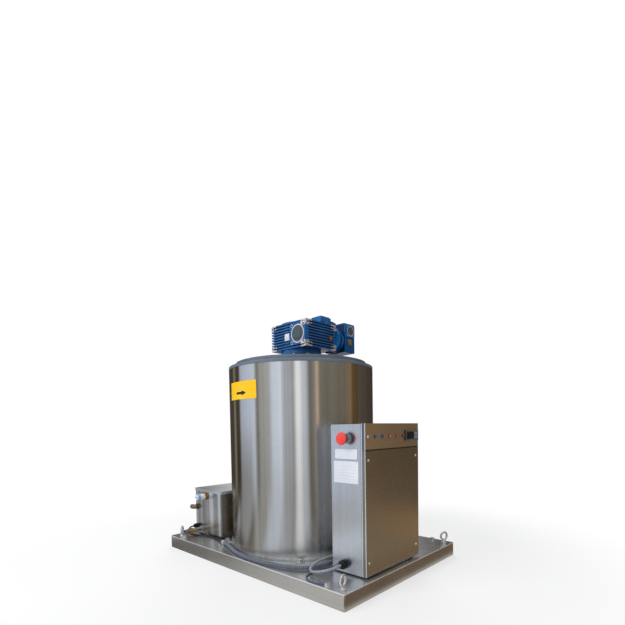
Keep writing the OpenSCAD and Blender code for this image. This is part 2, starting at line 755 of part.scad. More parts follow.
// A worm gearbox case: output axis along Z through the origin, worm along Y at x = cd. Level fins
// run round its core between corner posts, with drilled foot pads and a square boss at each worm bearing.
module worm_case(a, back, front, n, cd, fins, pad, boss, out_r) {
    flat = n - 2 * boss_out;
    pitch = (flat - fin_t) / (fins - 1);
    pad_h = 0.7 * pad;
    post = 0.45 * pad;
    wide = back + front;
    middle = (front - back) / 2;
    difference() {
        union() {
            translate([middle, 0, -flat / 2]) {
                rounded_slab(wide - 2 * groove_d, a - 2 * groove_d, flat, case_edge_r);
                for (i = [0 : fins - 1])
                    translate([0, 0, i * pitch]) rounded_slab(wide, a, fin_t, case_edge_r);
            }
            intersection() {
                translate([middle, 0, -flat / 2]) rounded_slab(wide, a, flat, case_edge_r);
                for (sx = [-1, 1], sy = [-1, 1], sz = [-1, 1])
                    translate([middle + sx * (wide - pad) / 2, sy * (a - pad) / 2, sz * (flat - pad_h) / 2])
                        cube([pad, pad, pad_h], center = true);
                for (sx = [-1, 1], sy = [-1, 1])
                    translate([middle + sx * (wide - post) / 2, sy * (a - post) / 2, 0])
                        cube([post, post, flat], center = true);
            }
            for (sy = [-1, 1]) translate([cd, sy * (a / 2 - groove_d), 0])
                cube([boss, 2 * groove_d, boss], center = true);
            translate([0, 0, -n / 2]) cylinder(r = out_r, h = n);
        }
        for (sx = [-1, 1], sy = [-1, 1], sz = [-1, 1], k = [0.3, 0.72]) {
            px = middle + sx * (wide / 2 - k * pad);
            py = sy * (a / 2 - k * pad);
            pz = sz * (flat - pad_h) / 2;
            translate([px, sy * a / 2, pz]) rotate([-90 * sy, 0, 0]) hole(0.12 * pad, groove_d);
            translate([middle + sx * wide / 2, py, pz]) rotate([0, 90 * sx, 0]) hole(0.12 * pad, groove_d);
        }
    }
}

module main_gearbox() color(gear_blue) difference() {
    on_drum_axis(main_z)
        worm_case(main_a, main_back, main_front, main_n, main_cd, 10, main_pad, main_boss, pedestal_top_r);
    on_drum_axis(main_z0 - eps) cylinder(r = shaft_r + run, h = main_n + 2 * eps);
    for (a = case_bolts) on_drum_axis(main_z0) rotate(a)
        translate([case_bolt_r, 0, 0]) rotate([180, 0, 0]) hole(small_bolt_r + clear, 11);
    for (p = plugs) translate(p[0]) rotate(p[1]) {
        hole(plug_r + clear, 10);
        cylinder(r = plug_spot_r, h = 2 * groove_d);
    }
}

module gearbox_top_cover() color(gear_blue) on_drum_axis(main_z0 + main_n) {
    difference() {
        cylinder(r = 58, h = 5);
        for (a = [0 : 45 : 315]) rotate(a) translate([50, 0, 5]) hole(4, 3);
    }
    cylinder(r = shaft_r + 12, h = 8);
}

// A square bearing flange with corner holes, its seat at the origin
module square_flange(w, bore_r, t) {
    difference() {
        rounded_slab(w, w, t, 0.1 * w);
        translate([0, 0, -eps]) cylinder(r = bore_r, h = t + 2 * eps);
        for (sx = [-1, 1], sy = [-1, 1])
            translate([sx * 0.39 * w, sy * 0.39 * w, t]) hole(0.045 * w, t + eps);
    }
}

module worm_flanges() color(bare_cast) {
    along_minus_y([worm_x, -main_a / 2, main_z]) square_flange(main_boss, cap_r + clear, worm_flange_t);
    along_x([worm_x + small_a / 2, small_y, motor_z])
        square_flange(small_boss, small_cap_r + clear, worm_flange_t);
}

module worm_end_caps() color(dark_steel) {
    along_minus_y([worm_x, -main_a / 2, main_z]) {
        cylinder(r = cap_r, h = worm_flange_t - 1);
        cylinder(r1 = 0.7 * cap_r, r2 = 0.62 * cap_r, h = worm_flange_t + 1);
    }
    along_x([worm_x + small_a / 2, small_y, motor_z]) {
        cylinder(r = small_cap_r, h = worm_flange_t - 1);
        cylinder(r1 = 0.7 * small_cap_r, r2 = 0.62 * small_cap_r, h = worm_flange_t + 1);
    }
}

module oil_plugs() color(brass) for (p = plugs) translate(p[0]) rotate(p[1]) {
    translate([0, 0, -9]) cylinder(r = plug_r, h = 9 + eps);
    cylinder(r = hex_r(plug_r), h = groove_d + 1, $fn = 6);
}

module input_flange() color(gear_blue) along_y([worm_x, main_a / 2, main_z]) {
    cylinder(r = 56, h = 13);
    cylinder(r = 38, h = input_flange_l);
    translate([0, 0, input_flange_l - 11]) cylinder(r = small_out_r + 4, h = 11);
}

// The first stage lies on its side: its output along Y, its worm along X above that
module small_gearbox() color(gear_blue) translate([worm_x, small_y, main_z]) rotate(a = -120, v = [1, 1, 1])
    worm_case(small_a, small_back, small_front, small_n, small_cd, 7, small_pad, small_boss, small_out_r);

// Motor, along X from the first stage's worm

module motor_flange() color(gear_blue) along_minus_x([motor_x, small_y, motor_z]) {
    cylinder(r = motor_r - 1, h = shield_t - 6);
    cylinder(r = motor_r - motor_fin_h + 4, h = shield_t);
}

module motor_frame() color(gear_blue) along_minus_x([frame_x, small_y, motor_z]) difference() {
    core_r = motor_r - motor_fin_h;
    pad_in = 6;
    union() {
        linear_extrude(height = motor_l) {
            circle(r = core_r);
            for (i = [0 : motor_fins - 1]) rotate((i + 0.5) * 360 / motor_fins)
                translate([core_r - 2, -1.25]) square([motor_fin_h + 1, 2.5]);
        }
        translate([core_r - 10, -tbox_w / 2 + pad_in, frame_x - tbox_x - tbox_l / 2 + pad_in])
            cube([motor_fin_h + 10, tbox_w - 2 * pad_in, tbox_l - 2 * pad_in]);
        translate([0, 0, motor_l - eps]) cylinder(r = motor_r - snug, h = shield_t / 2);
    }
    translate([0, 0, motor_l + shield_t / 2]) hole(rotor_r + run, 60);
}

module fan_cowl() color(gear_blue) along_minus_x([cowl_x, small_y, motor_z]) difference() {
    cowl_r = motor_r + cowl_t;
    slots = 14;
    cylinder(r = cowl_r, h = cowl_l + shield_t / 2);
    translate([0, 0, -eps]) cylinder(r = cowl_r - cowl_t, h = cowl_l + shield_t / 2 - cowl_t + eps);
    for (i = [0 : slots - 1]) rotate(i * 360 / slots)
        translate([18, -2.5, cowl_l]) cube([motor_r - 28, 5, shield_t]);
}

// Shaft end, hub and flat blades in front of the rear shield
module motor_fan() color(black) along_minus_x([cowl_x - shield_t / 2, small_y, motor_z]) {
    fan_r = motor_r - 7;
    hub_z = 3;
    blades = 7;
    translate([0, 0, -55]) cylinder(r = rotor_r, h = 55 + hub_z + eps);
    translate([0, 0, hub_z]) cylinder(r = 16, h = cowl_l - 20);
    translate([0, 0, hub_z]) cylinder(r = fan_r, h = 3);
    for (i = [0 : blades - 1]) rotate(i * 360 / blades)
        translate([12, -1.5, hub_z]) cube([fan_r - 13, 3, cowl_l - 24]);
}

module terminal_box() color(gear_blue) difference() {
    translate([tbox_x, small_y, tbox_z]) rounded_slab(tbox_l, tbox_w, tbox_h, 6);
    translate([tbox_x, small_y, tbox_z + 4]) rounded_slab(tbox_l - 8, tbox_w - 8, tbox_h, 4);
    along_y(motor_gland) hole(tail_r - 1 + clear, 6);
}

module terminal_lid() color(gear_blue) translate([tbox_x, small_y, tbox_z + tbox_h]) {
    rounded_slab(tbox_l, tbox_w, tbox_lid_t / 2, 6);
    rounded_slab(tbox_l - 8, tbox_w - 8, tbox_lid_t, 5);
}

// Control box

module box_body() color(steel) difference() {
    translate([box_x0, body_y0, box_z0]) cube([rim_x - box_x0, body_y1 - body_y0, box_h - body_in]);
    translate([box_x0 + box_t, body_y0 + box_t, box_z0 + box_t])
        cube([rim_x - box_x0 - 2 * box_t, body_y1 - body_y0 - 2 * box_t, box_h - body_in - 2 * box_t]);
    translate([rim_x - 2 * box_t, box_y0 + rim_w, box_z0 + rim_w])
        cube([3 * box_t, box_w - 2 * rim_w, seam_z - box_z0 - rim_w - 12]);
    translate([rim_x - 2 * box_t, box_y0 + rim_w, seam_z + 12])
        cube([3 * box_t, box_w - rim_w - 10, fascia_h - 12 - rim_w / 2]);
    for (p = concat(cover_screws_at, [fascia_screw]))
        along_x([rim_x, p[0], p[1]]) hole(screw_r + clear, 2 * box_t);
    along_minus_y(estop_at) hole(estop_neck_r + clear, 2 * box_t);
    along_minus_y(box_gland) hole(tail_r + clear, 2 * box_t);
    along_minus_x(elbow_at) hole(tail_r - 1 + clear, 2 * box_t);
    along_minus_x(stud_at) hole(stud_r + clear, 2 * box_t);
}

// A front cover from z0 to z1, its side flanges folded back over the box
module folded_front(z0, z1, top_t) {
    difference() {
        translate([box_x1 - flange_d, box_y0, z0]) cube([flange_d, box_w, z1 - z0]);
        translate([box_x1 - flange_d - eps, box_y0 + box_t, z0 - eps])
            cube([flange_d - box_t + eps, box_w - 2 * box_t, z1 - z0 - top_t + eps]);
    }
}

module box_fascia() color(steel) difference() {
    folded_front(seam_z + seam_gap / 2, box_z1, box_t);
    for (i = [0 : lamp_n - 1])
        along_x([box_x1, lamp_y + i * lamp_pitch, lamp_z]) hole(lamp_r + clear, 2 * box_t);
    cut_w = controller_w - 2 * controller_in + 2 * clear;
    cut_h = controller_h - 2 * controller_in + 2 * clear;
    translate([box_x1 - 2 * box_t, controller_y - cut_w / 2, lamp_z - cut_h / 2])
        cube([4 * box_t, cut_w, cut_h]);
    along_x([box_x1, fascia_screw[0], fascia_screw[1]]) hole(screw_r + clear, 2 * box_t);
}

module box_cover() color(steel) difference() {
    folded_front(box_z0 + 2, seam_z - seam_gap / 2, -eps);
    for (p = cover_screws_at) along_x([box_x1, p[0], p[1]]) hole(screw_r + clear, 2 * box_t);
}

module cover_screws() color(zinc) for (p = concat(cover_screws_at, [fascia_screw]))
    along_x([box_x1, p[0], p[1]]) {
        cylinder(r1 = 4.5, r2 = 3, h = 2.4);
        translate([0, 0, -8]) cylinder(r = screw_r, h = 8 + eps);
    }

// Collar outside the wall and contact block behind it, bored for the stem
module estop_bezel() color(black) along_minus_y(estop_at) difference() {
    union() {
        cylinder(r = estop_collar_r, h = estop_collar_h);
        translate([0, 0, -box_t]) cylinder(r = estop_neck_r, h = 2 * box_t);
        translate([-15, -15, -box_t - 40]) cube([30, 30, 40]);
    }
    translate([0, 0, estop_collar_h]) hole(estop_stem_r + run, estop_collar_h + 30);
}

module estop_stem() color(dark_steel) along_minus_y(estop_at) translate([0, 0, -estop_stem_in])
    cylinder(r = estop_stem_r, h = estop_stem_in + estop_face - clear);

// Mushroom head: a waisted rim under a shallow dome
module estop_head() color([0.86, 0.12, 0.10]) along_minus_y(estop_at) translate([0, 0, estop_face])
    rotate_extrude() polygon(concat([[0, 0], [0.72 * estop_r, 0], [estop_r, 4], [estop_r, 7]],
        [for (a = [15 : 15 : 90]) [estop_r * (0.75 + 0.25 * cos(a)), 7 + 4 * sin(a)]], [[0, 12]]));

module pilot_lamps() color([1.0, 0.62, 0.15])
    for (i = [0 : lamp_n - 1]) along_x([box_x1, lamp_y + i * lamp_pitch, lamp_z]) {
        cylinder(r = lamp_r + 1.5, h = 1.5);
        cylinder(r1 = lamp_r, r2 = 0.75 * lamp_r, h = 5);
        translate([0, 0, -14]) cylinder(r = lamp_r, h = 14 + eps);
    }

module controller() color(black) {
    translate([box_x1, controller_y - controller_w / 2, lamp_z - controller_h / 2])
        cube([4, controller_w, controller_h]);
    translate([box_x1 - 60, controller_y - controller_w / 2 + controller_in,
        lamp_z - controller_h / 2 + controller_in])
        cube([60 + eps, controller_w - 2 * controller_in, controller_h - 2 * controller_in]);
}

// Plate on four spacers, with a mounting rail across it
module mounting_plate() color(zinc) {
    translate([plate_x, box_y0 + 40, box_z0 + 60]) cube([sheet_t, box_w - 80, box_h - 190]);
    for (y = [box_y0 + 55, box_y1 - 55], z = [box_z0 + 75, box_z1 - 145])
        along_x([box_x0 + box_t, y, z]) cylinder(r = 5, h = plate_x - box_x0 - box_t);
    translate([plate_x + sheet_t, box_y0 + 50, box_z0 + din_up]) cube([din_d, box_w - 100, din_h]);
}

module contactor() color([0.22, 0.23, 0.24]) for (i = [0 : 2])
    translate([plate_x + sheet_t + din_d, box_y0 + 70 + i * 62, box_z0 + din_up + din_h / 2 - 39]) {
        cube([52, 45, 78]);
        translate([52, 6, 14]) cube([16, 33, 50]);
    }

// A cable gland on a wall: a hexagon body, a hexagon clamping nut and a tail inwards
module gland(l, af_r, tail) {
    cylinder(r = af_r, h = 0.3 * l, $fn = 6);
    cylinder(r = 0.78 * af_r, h = 0.5 * l);
    translate([0, 0, 0.45 * l]) cylinder(r = 0.95 * af_r, h = 0.3 * l, $fn = 6);
    translate([0, 0, 0.75 * l - eps]) cylinder(r1 = 0.8 * af_r, r2 = 0.6 * af_r, h = 0.25 * l + eps);
    translate([0, 0, -6]) cylinder(r = tail, h = 6 + eps);
}

// A quarter bend from the box's back wall into the pump's conduit
module conduit_elbow() {
    along_minus_x(elbow_at) {
        translate([0, 0, -6]) cylinder(r = tail_r - 1, h = 6 + eps);
        cylinder(r = elbow_r + 1.5, h = 5);
        cylinder(r = elbow_r, h = elbow_out - elbow_bend);
    }
    translate(elbow_at - [elbow_out - elbow_bend, elbow_bend, 0]) rotate(90)
        rotate_extrude(angle = 90) translate([elbow_bend, 0]) circle(r = elbow_r);
    along_minus_y(elbow_at - [elbow_out, elbow_bend, 0]) cylinder(r = elbow_r, h = 14);
}

module cable_glands() color(black) {
    along_minus_y(box_gland) gland(gland_l, 15, tail_r);
    along_minus_y(tank_gland) gland(small_gland_l, 10.4, tail_r - 1);
    along_y(motor_gland) gland(small_gland_l, 9.2, tail_r - 1);
    conduit_elbow();
}

// Water tank

// The tank from above: a slanted wall follows the drum, with a narrower part behind it
module tank_plan(inset) {
    intersection() {
        translate([tank_x0 + inset, tank_y0 + inset]) square([tank_l - 2 * inset, tank_w - 2 * inset]);
        translate([drum_x, 0]) rotate(slant_angle)
            translate([drum_r + tank_gap + inset, -base_w]) square([base_l, 2 * base_w]);
    }
    translate([tank_x0 + inset, tank_y0 + inset]) square([tank_back_l - 2 * inset, tank_w - 2 * inset]);
}

module water_tank() color(steel) difference() {
    translate([0, 0, tank_z0]) linear_extrude(height = tank_h - tank_in) tank_plan(tank_in);
    translate([0, 0, tank_z0 + tank_t]) linear_extrude(height = tank_h) tank_plan(tank_in + tank_t);
    along_minus_y([inlet_x, wall_y, inlet_z]) hole(inlet_r + clear, 2 * tank_t);
    along_minus_y(overflow_at) hole(overflow_r + clear, 2 * tank_t);
    along_minus_y(drain_at) hole(drain_r + clear, 2 * tank_t);
    along_minus_y(tank_gland) hole(tail_r - 1 + clear, 2 * tank_t);
}

module tank_lid() color(steel) difference() {
    translate([0, 0, tank_top - lid_skirt]) linear_extrude(height = lid_skirt) tank_plan(0);
    translate([0, 0, tank_top - lid_skirt - eps])
        linear_extrude(height = lid_skirt - tank_t + eps) tank_plan(tank_t);
    translate([riser_at[0], riser_at[1], tank_top]) hole(riser_r + clear, 2 * tank_t);
}

// Inlet tail outside the wall, float valve body with a forked bracket inside
module inlet_valve() color([0.90, 0.91, 0.92]) difference() {
    union() {
        along_minus_y([inlet_x, wall_y, inlet_z]) {
            cylinder(r = 1.6 * inlet_r, h = 9, $fn = 6);
            translate([0, 0, 9 - eps]) cylinder(r1 = 1.3 * inlet_r, r2 = 1.15 * inlet_r, h = 22);
            translate([0, 0, 31 - 2 * eps]) cylinder(r = 1.35 * inlet_r, h = 11);
            translate([0, 0, 42 - 3 * eps]) cylinder(r = inlet_r, h = 5);
            translate([0, 0, -24]) cylinder(r = inlet_r, h = 24 + eps);
        }
        along_y([inlet_x, wall_y + tank_t, inlet_z]) cylinder(r = 1.5 * inlet_r, h = 7, $fn = 6);
        for (s = [-1, 1]) translate([inlet_x + s * 7, pivot_at[1], (pivot_at[2] + inlet_z) / 2 - 3])
            cube([5, 12, inlet_z - pivot_at[2] + 6], center = true);
        translate([inlet_x - 9.5, wall_y + 20, inlet_z - 3]) cube([19, pivot_at[1] + 6 - wall_y - 20, 6]);
    }
    along_minus_y([inlet_x, wall_y + 10, inlet_z]) cylinder(r = 0.6 * inlet_r, h = 80);
    along_x([inlet_x - 20, pivot_at[1], pivot_at[2]]) cylinder(r = pivot_r + run, h = 40);
}

// Pivot pin, hub, rod and float, hanging at its lowest
module float_arm() color([0.85, 0.45, 0.15]) translate(pivot_at) rotate([-float_drop, 0, 0]) {
    along_x([-11, 0, 0]) cylinder(r = pivot_r, h = 22);
    along_x([-4, 0, 0]) cylinder(r = 4.5, h = 8);
    along_y([0, 3, 0]) cylinder(r = 2, h = float_arm_l - 3);
    translate([0, float_arm_l, 0]) sphere(r = float_r);
}

// A bend out of the front wall and round to the tank's end
module overflow_elbow() color(brass) translate(overflow_at) {
    bend = 1.2 * overflow_r;
    out = 1.6 * overflow_r;
    bore_r = overflow_r - 2.5;
    along_minus_y([0, 6, 0]) tube(overflow_r, bore_r, 6 + out - bend);
    rotate([90, 0, 0]) difference() {
        cylinder(r = 1.4 * overflow_r, h = 4, $fn = 6);
        translate([0, 0, -eps]) cylinder(r = overflow_r - 1, h = 4 + 2 * eps);
    }
    translate([-bend, -out + bend, 0]) rotate(-90) rotate_extrude(angle = 90)
        translate([bend, 0]) difference() {
            circle(r = overflow_r);
            circle(r = bore_r);
        }
    along_minus_x([-bend, -out, 0]) tube(overflow_r, bore_r, 8);
}

module drain_pipe() color(dark_steel) along_minus_y(drain_at) difference() {
    union() {
        translate([0, 0, -6]) cylinder(r = drain_r, h = drain_l + 6);
        cylinder(r = 1.4 * drain_r, h = 5, $fn = 6);
        translate([0, 0, drain_l - 37]) cylinder(r = 1.35 * drain_r, h = 14, $fn = 6);
        translate([0, 0, drain_l - 23 - eps]) cylinder(r = 1.15 * drain_r, h = 8);
    }
    translate([0, 0, -6 - eps]) cylinder(r = drain_r - 2, h = drain_l + 6 + 2 * eps);
}

// A submersible pump whose outlet block holds the riser
module water_pump() color([0.12, 0.16, 0.22]) translate(pump_at) difference() {
    reach = riser_at - [pump_at[0], pump_at[1]];
    union() {
        cylinder(r = pump_r, h = 22);
        cylinder(r = pump_r - 4, h = 74);
        translate([0, 0, 74 - eps]) cylinder(r1 = pump_r - 4, r2 = 14, h = 12);
        rotate(atan2(reach[1], reach[0])) translate([0, -13, 2]) cube([norm(reach) + 13, 26, 30]);
    }
    translate([reach[0], reach[1], 32]) hole(riser_r + snug, 20);
}

// Up from the pump, level over the lid and down through it
module water_riser() color(steel) translate([drum_x, 0, 0]) rotate(riser_angle) {
    r1 = riser_in_r + riser_run;
    foot = pump_at[2] + 12;
    translate([r1, 0, foot]) cylinder(r = riser_r, h = riser_z - riser_bend - foot);
    translate([r1 - riser_bend, 0, riser_z - riser_bend]) rotate([90, 0, 0])
        rotate_extrude(angle = 90) translate([riser_bend, 0]) circle(r = riser_r);
    along_x([riser_in_r + riser_bend, 0, riser_z]) cylinder(r = riser_r, h = riser_run - 2 * riser_bend);
    translate([riser_in_r + riser_bend, 0, riser_z - riser_bend]) rotate([90, 0, 0]) rotate(90)
        rotate_extrude(angle = 90) translate([riser_bend, 0]) circle(r = riser_r);
    translate([riser_in_r, 0, drum_top - 8])
        cylinder(r = riser_r, h = riser_z - riser_bend - drum_top + 8);
}

// Cables and conduits

function unit(v) = v / norm(v);
// Side vectors carried along the route without twist
function sides_along(dirs, i, side) = i == len(dirs) ? [] :
    let (s = unit(side - (side * dirs[i]) * dirs[i])) concat([s], sides_along(dirs, i + 1, s));

// A round tube through the route's points, with one ring of corners at each
module sweep(route, r, corners) {
    last = len(route) - 1;
    dirs = [for (i = [0 : last]) unit(route[min(i + 1, last)] - route[max(i - 1, 0)])];
    sides = sides_along(dirs, 0, [0, 0, 1]);
    points = [for (i = [0 : last], k = [0 : corners - 1])
        let (turn = 360 * k / corners)
        route[i] + r * (cos(turn) * sides[i] + sin(turn) * cross(dirs[i], sides[i]))];
    walls = [for (i = [0 : last - 1], k = [0 : corners - 1])
        let (a = i * corners + k, b = i * corners + (k + 1) % corners) [a, a + corners, b + corners, b]];
    start = [for (k = [0 : corners - 1]) k];
    end = [for (k = [corners - 1 : -1 : 0]) last * corners + k];
    polyhedron(points = points, faces = concat(walls, [start, end]), convexity = 8);
}

module pump_cable() color(black) sweep(cable_route, cable_r, 8);
module pump_conduit() color([0.36, 0.41, 0.48]) sweep(pump_route, pump_conduit_r, 12);
module motor_conduit() color([0.62, 0.66, 0.72]) sweep(motor_route, motor_conduit_r, 10);
module earth_wire() color([0.30, 0.36, 0.44]) sweep(earth_route, earth_r, 8);

// Saddle clips that hold the motor's conduit to the drum
module cable_clips() color(zinc) difference() {
    for (z = clip_levels) translate([clip_x, clip_y, z]) {
        cylinder(r = motor_conduit_r + 2.5, h = 12);
        translate([-20, -16, 0]) cube([40, 12, 12]);
    }
    for (z = clip_levels) translate([clip_x, clip_y, z - eps])
        cylinder(r = motor_conduit_r + clear, h = 12 + 2 * eps);
    on_drum_axis(drum_z) cylinder(r = drum_r + snug, h = drum_h, $fn = 720);
}

base_tray();
base_rails();
eye_bolts();
hex_bolts();
rubber_feet();
drum_foot_ring();
drum_lugs();
drum_jacket();
drum_insulation();
evaporator_wall();
evaporator_sleeve();
water_trough();
bearing_spider();
bottom_bush();
lid_ring();
lid_cover();
refrigerant_pipes();
main_shaft();
scraper_arms();
ice_blade();
water_pan();
gearbox_pedestal();
main_gearbox();
gearbox_top_cover();
worm_flanges();
worm_end_caps();
oil_plugs();
input_flange();
small_gearbox();
motor_flange();
motor_frame();
fan_cowl();
motor_fan();
terminal_box();
terminal_lid();
box_body();
box_fascia();
box_cover();
cover_screws();
estop_bezel();
estop_stem();
estop_head();
pilot_lamps();
controller();
mounting_plate();
contactor();
cable_glands();
water_tank();
tank_lid();
inlet_valve();
float_arm();
overflow_elbow();
drain_pipe();
water_pump();
water_riser();
cable_clips();
pump_cable();
pump_conduit();
motor_conduit();
earth_wire();
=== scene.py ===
import math

import bpy
from mathutils import Matrix, Vector


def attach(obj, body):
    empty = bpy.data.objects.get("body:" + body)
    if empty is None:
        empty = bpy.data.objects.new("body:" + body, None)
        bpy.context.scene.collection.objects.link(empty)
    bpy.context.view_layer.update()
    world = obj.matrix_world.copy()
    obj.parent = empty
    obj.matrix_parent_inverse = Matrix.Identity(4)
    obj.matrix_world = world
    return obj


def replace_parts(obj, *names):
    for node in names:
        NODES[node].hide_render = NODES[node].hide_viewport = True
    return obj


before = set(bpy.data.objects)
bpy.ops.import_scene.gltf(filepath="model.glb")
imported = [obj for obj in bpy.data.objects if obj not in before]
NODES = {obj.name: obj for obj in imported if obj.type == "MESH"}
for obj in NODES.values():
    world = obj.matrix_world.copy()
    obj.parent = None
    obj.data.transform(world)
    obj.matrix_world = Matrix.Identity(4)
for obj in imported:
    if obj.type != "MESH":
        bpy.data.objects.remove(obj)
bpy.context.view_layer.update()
MM = 0.001
WHITE = (1, 1, 1, 1)

# Places on the solids, in metres, and the drum's radius and the worms' axes in millimetres
DRUM_X = -0.005
TRAY_HALF_LENGTH, TRAY_HALF_WIDTH, TRAY_TOP = 0.5, 0.34, 0.05
FASCIA_FOOT = 0.444
GEARBOX_X = 0.0115
DRUM_RADIUS = 293
MAIN_WORM_X, MAIN_WORM_Z = 70, 880
FIRST_WORM_Y, FIRST_WORM_Z = 166, 920


# Shader maths

class Sock:
    """A socket of a node tree. Arithmetic on it adds Math nodes."""

    def __init__(self, tree, socket):
        self.tree = tree
        self.socket = socket

    def node(self, kind, settings, sockets, out=0):
        """Adds a node: its settings first, then the values or links of its sockets."""
        made = self.tree.nodes.new("ShaderNode" + kind)
        for key, value in settings.items():
            if key == "stops":
                lay_stops(made.color_ramp, value)
            else:
                setattr(made, key, value)
        for key, value in sockets.items():
            if isinstance(value, Sock):
                self.tree.links.new(value.socket, made.inputs[key])
            else:
                made.inputs[key].default_value = value
        return Sock(self.tree, made.outputs[out])

    def math(self, operation, other=0.0):
        return self.node("Math", {"operation": operation}, {0: self, 1: other})

    def __add__(self, other): return self.math("ADD", other)
    def __radd__(self, other): return self.math("ADD", other)
    def __sub__(self, other): return self.math("SUBTRACT", other)
    def __rsub__(self, other): return self.node("Math", {"operation": "SUBTRACT"}, {0: other, 1: self})
    def __mul__(self, other): return self.math("MULTIPLY", other)
    def __rmul__(self, other): return self.math("MULTIPLY", other)
    def __truediv__(self, other): return self.math("DIVIDE", other)
    def __pow__(self, other): return self.math("POWER", other)
    def __abs__(self): return self.math("ABSOLUTE")
    def __gt__(self, other): return self.math("GREATER_THAN", other)
    def __lt__(self, other): return self.math("LESS_THAN", other)

    def most(self, other):
        """The greater of two values. Of two masks, either one."""
        return self.math("MAXIMUM", other)

    def least(self, other):
        """The lesser of two values."""
        return self.math("MINIMUM", other)

    def between(self, low, high):
        """1 where the value lies between two limits."""
        return (self > low) * (self < high)

    def soft(self, low, high):
        """0 below low, 1 above high, smooth between them."""
        return self.node("MapRange", {"interpolation_type": "SMOOTHSTEP"},
                         {"Value": self, "From Min": low, "From Max": high})

    def ramp(self, stops, interpolation="LINEAR"):
        return self.node("ValToRGB", {"stops": (interpolation, stops)}, {"Fac": self})

    def tint(self, low, high):
        """A colour between two, by this value."""
        return self.node("Mix", {"data_type": "RGBA"}, {0: self, 6: low, 7: high}, out=2)

    def parts(self):
        """The x, y and z of a vector."""
        apart = self.node("SeparateXYZ", {}, {0: self})
        return [Sock(self.tree, out) for out in apart.socket.node.outputs]

    def stretched(self, scale):
        return self.node("Mapping", {}, {"Vector": self, "Scale": scale})

    def noise(self, scale, detail=3.0, roughness=0.5):
        return self.node("TexNoise", {}, {"Vector": self, "Scale": scale, "Detail": detail,
                                          "Roughness": roughness})

    def noise_on_line(self, scale):
        return self.node("TexNoise", {"noise_dimensions": "1D"}, {"W": self, "Scale": scale, "Detail": 3.0})

    def cells(self, scale):
        return self.node("TexVoronoi", {}, {"Vector": self, "Scale": scale})

    def bump(self, strength, distance):
        return self.node("Bump", {}, {"Height": self, "Strength": strength, "Distance": distance})


def distance(across, up):
    """How far a place lies from an axis, from its two offsets."""
    return (across ** 2.0 + up ** 2.0).math("SQRT")


def lay_stops(ramp, stops):
    ramp.interpolation, stops = stops
    while len(ramp.elements) < len(stops):
        ramp.elements.new(1.0)
    for element, (place, colour) in zip(ramp.elements, stops):
        element.position = place
        element.color = rgba(colour)


def rgba(colour):
    """A ramp's colour, from a colour or a grey."""
    if isinstance(colour, (int, float)):
        colour = (colour, colour, colour)
    return (*colour[:3], 1.0)


def linear(r, g, b):
    """A colour given in screen values from 0 to 255."""
    def light(value):
        share = value / 255
        return share / 12.92 if share <= 0.04045 else ((share + 0.055) / 1.055) ** 2.4
    return light(r), light(g), light(b), 1.0


def finish_named(name):
    """A new material, its shader and the Object coordinates."""
    material = bpy.data.materials.new(name)
    material.use_nodes = True
    tree = material.node_tree
    shader = next(n for n in tree.nodes if n.type == "BSDF_PRINCIPLED")
    coords = tree.nodes.new("ShaderNodeTexCoord")
    return material, shader, Sock(tree, coords.outputs["Object"])


def feed(shader, **sockets):
    """Sets a shader's sockets by name, with underscores for spaces."""
    for key, value in sockets.items():
        socket = shader.inputs[key.replace("_", " ")]
        if isinstance(value, Sock):
            value.tree.links.new(value.socket, socket)
        else:
            socket.default_value = value


# Finishes

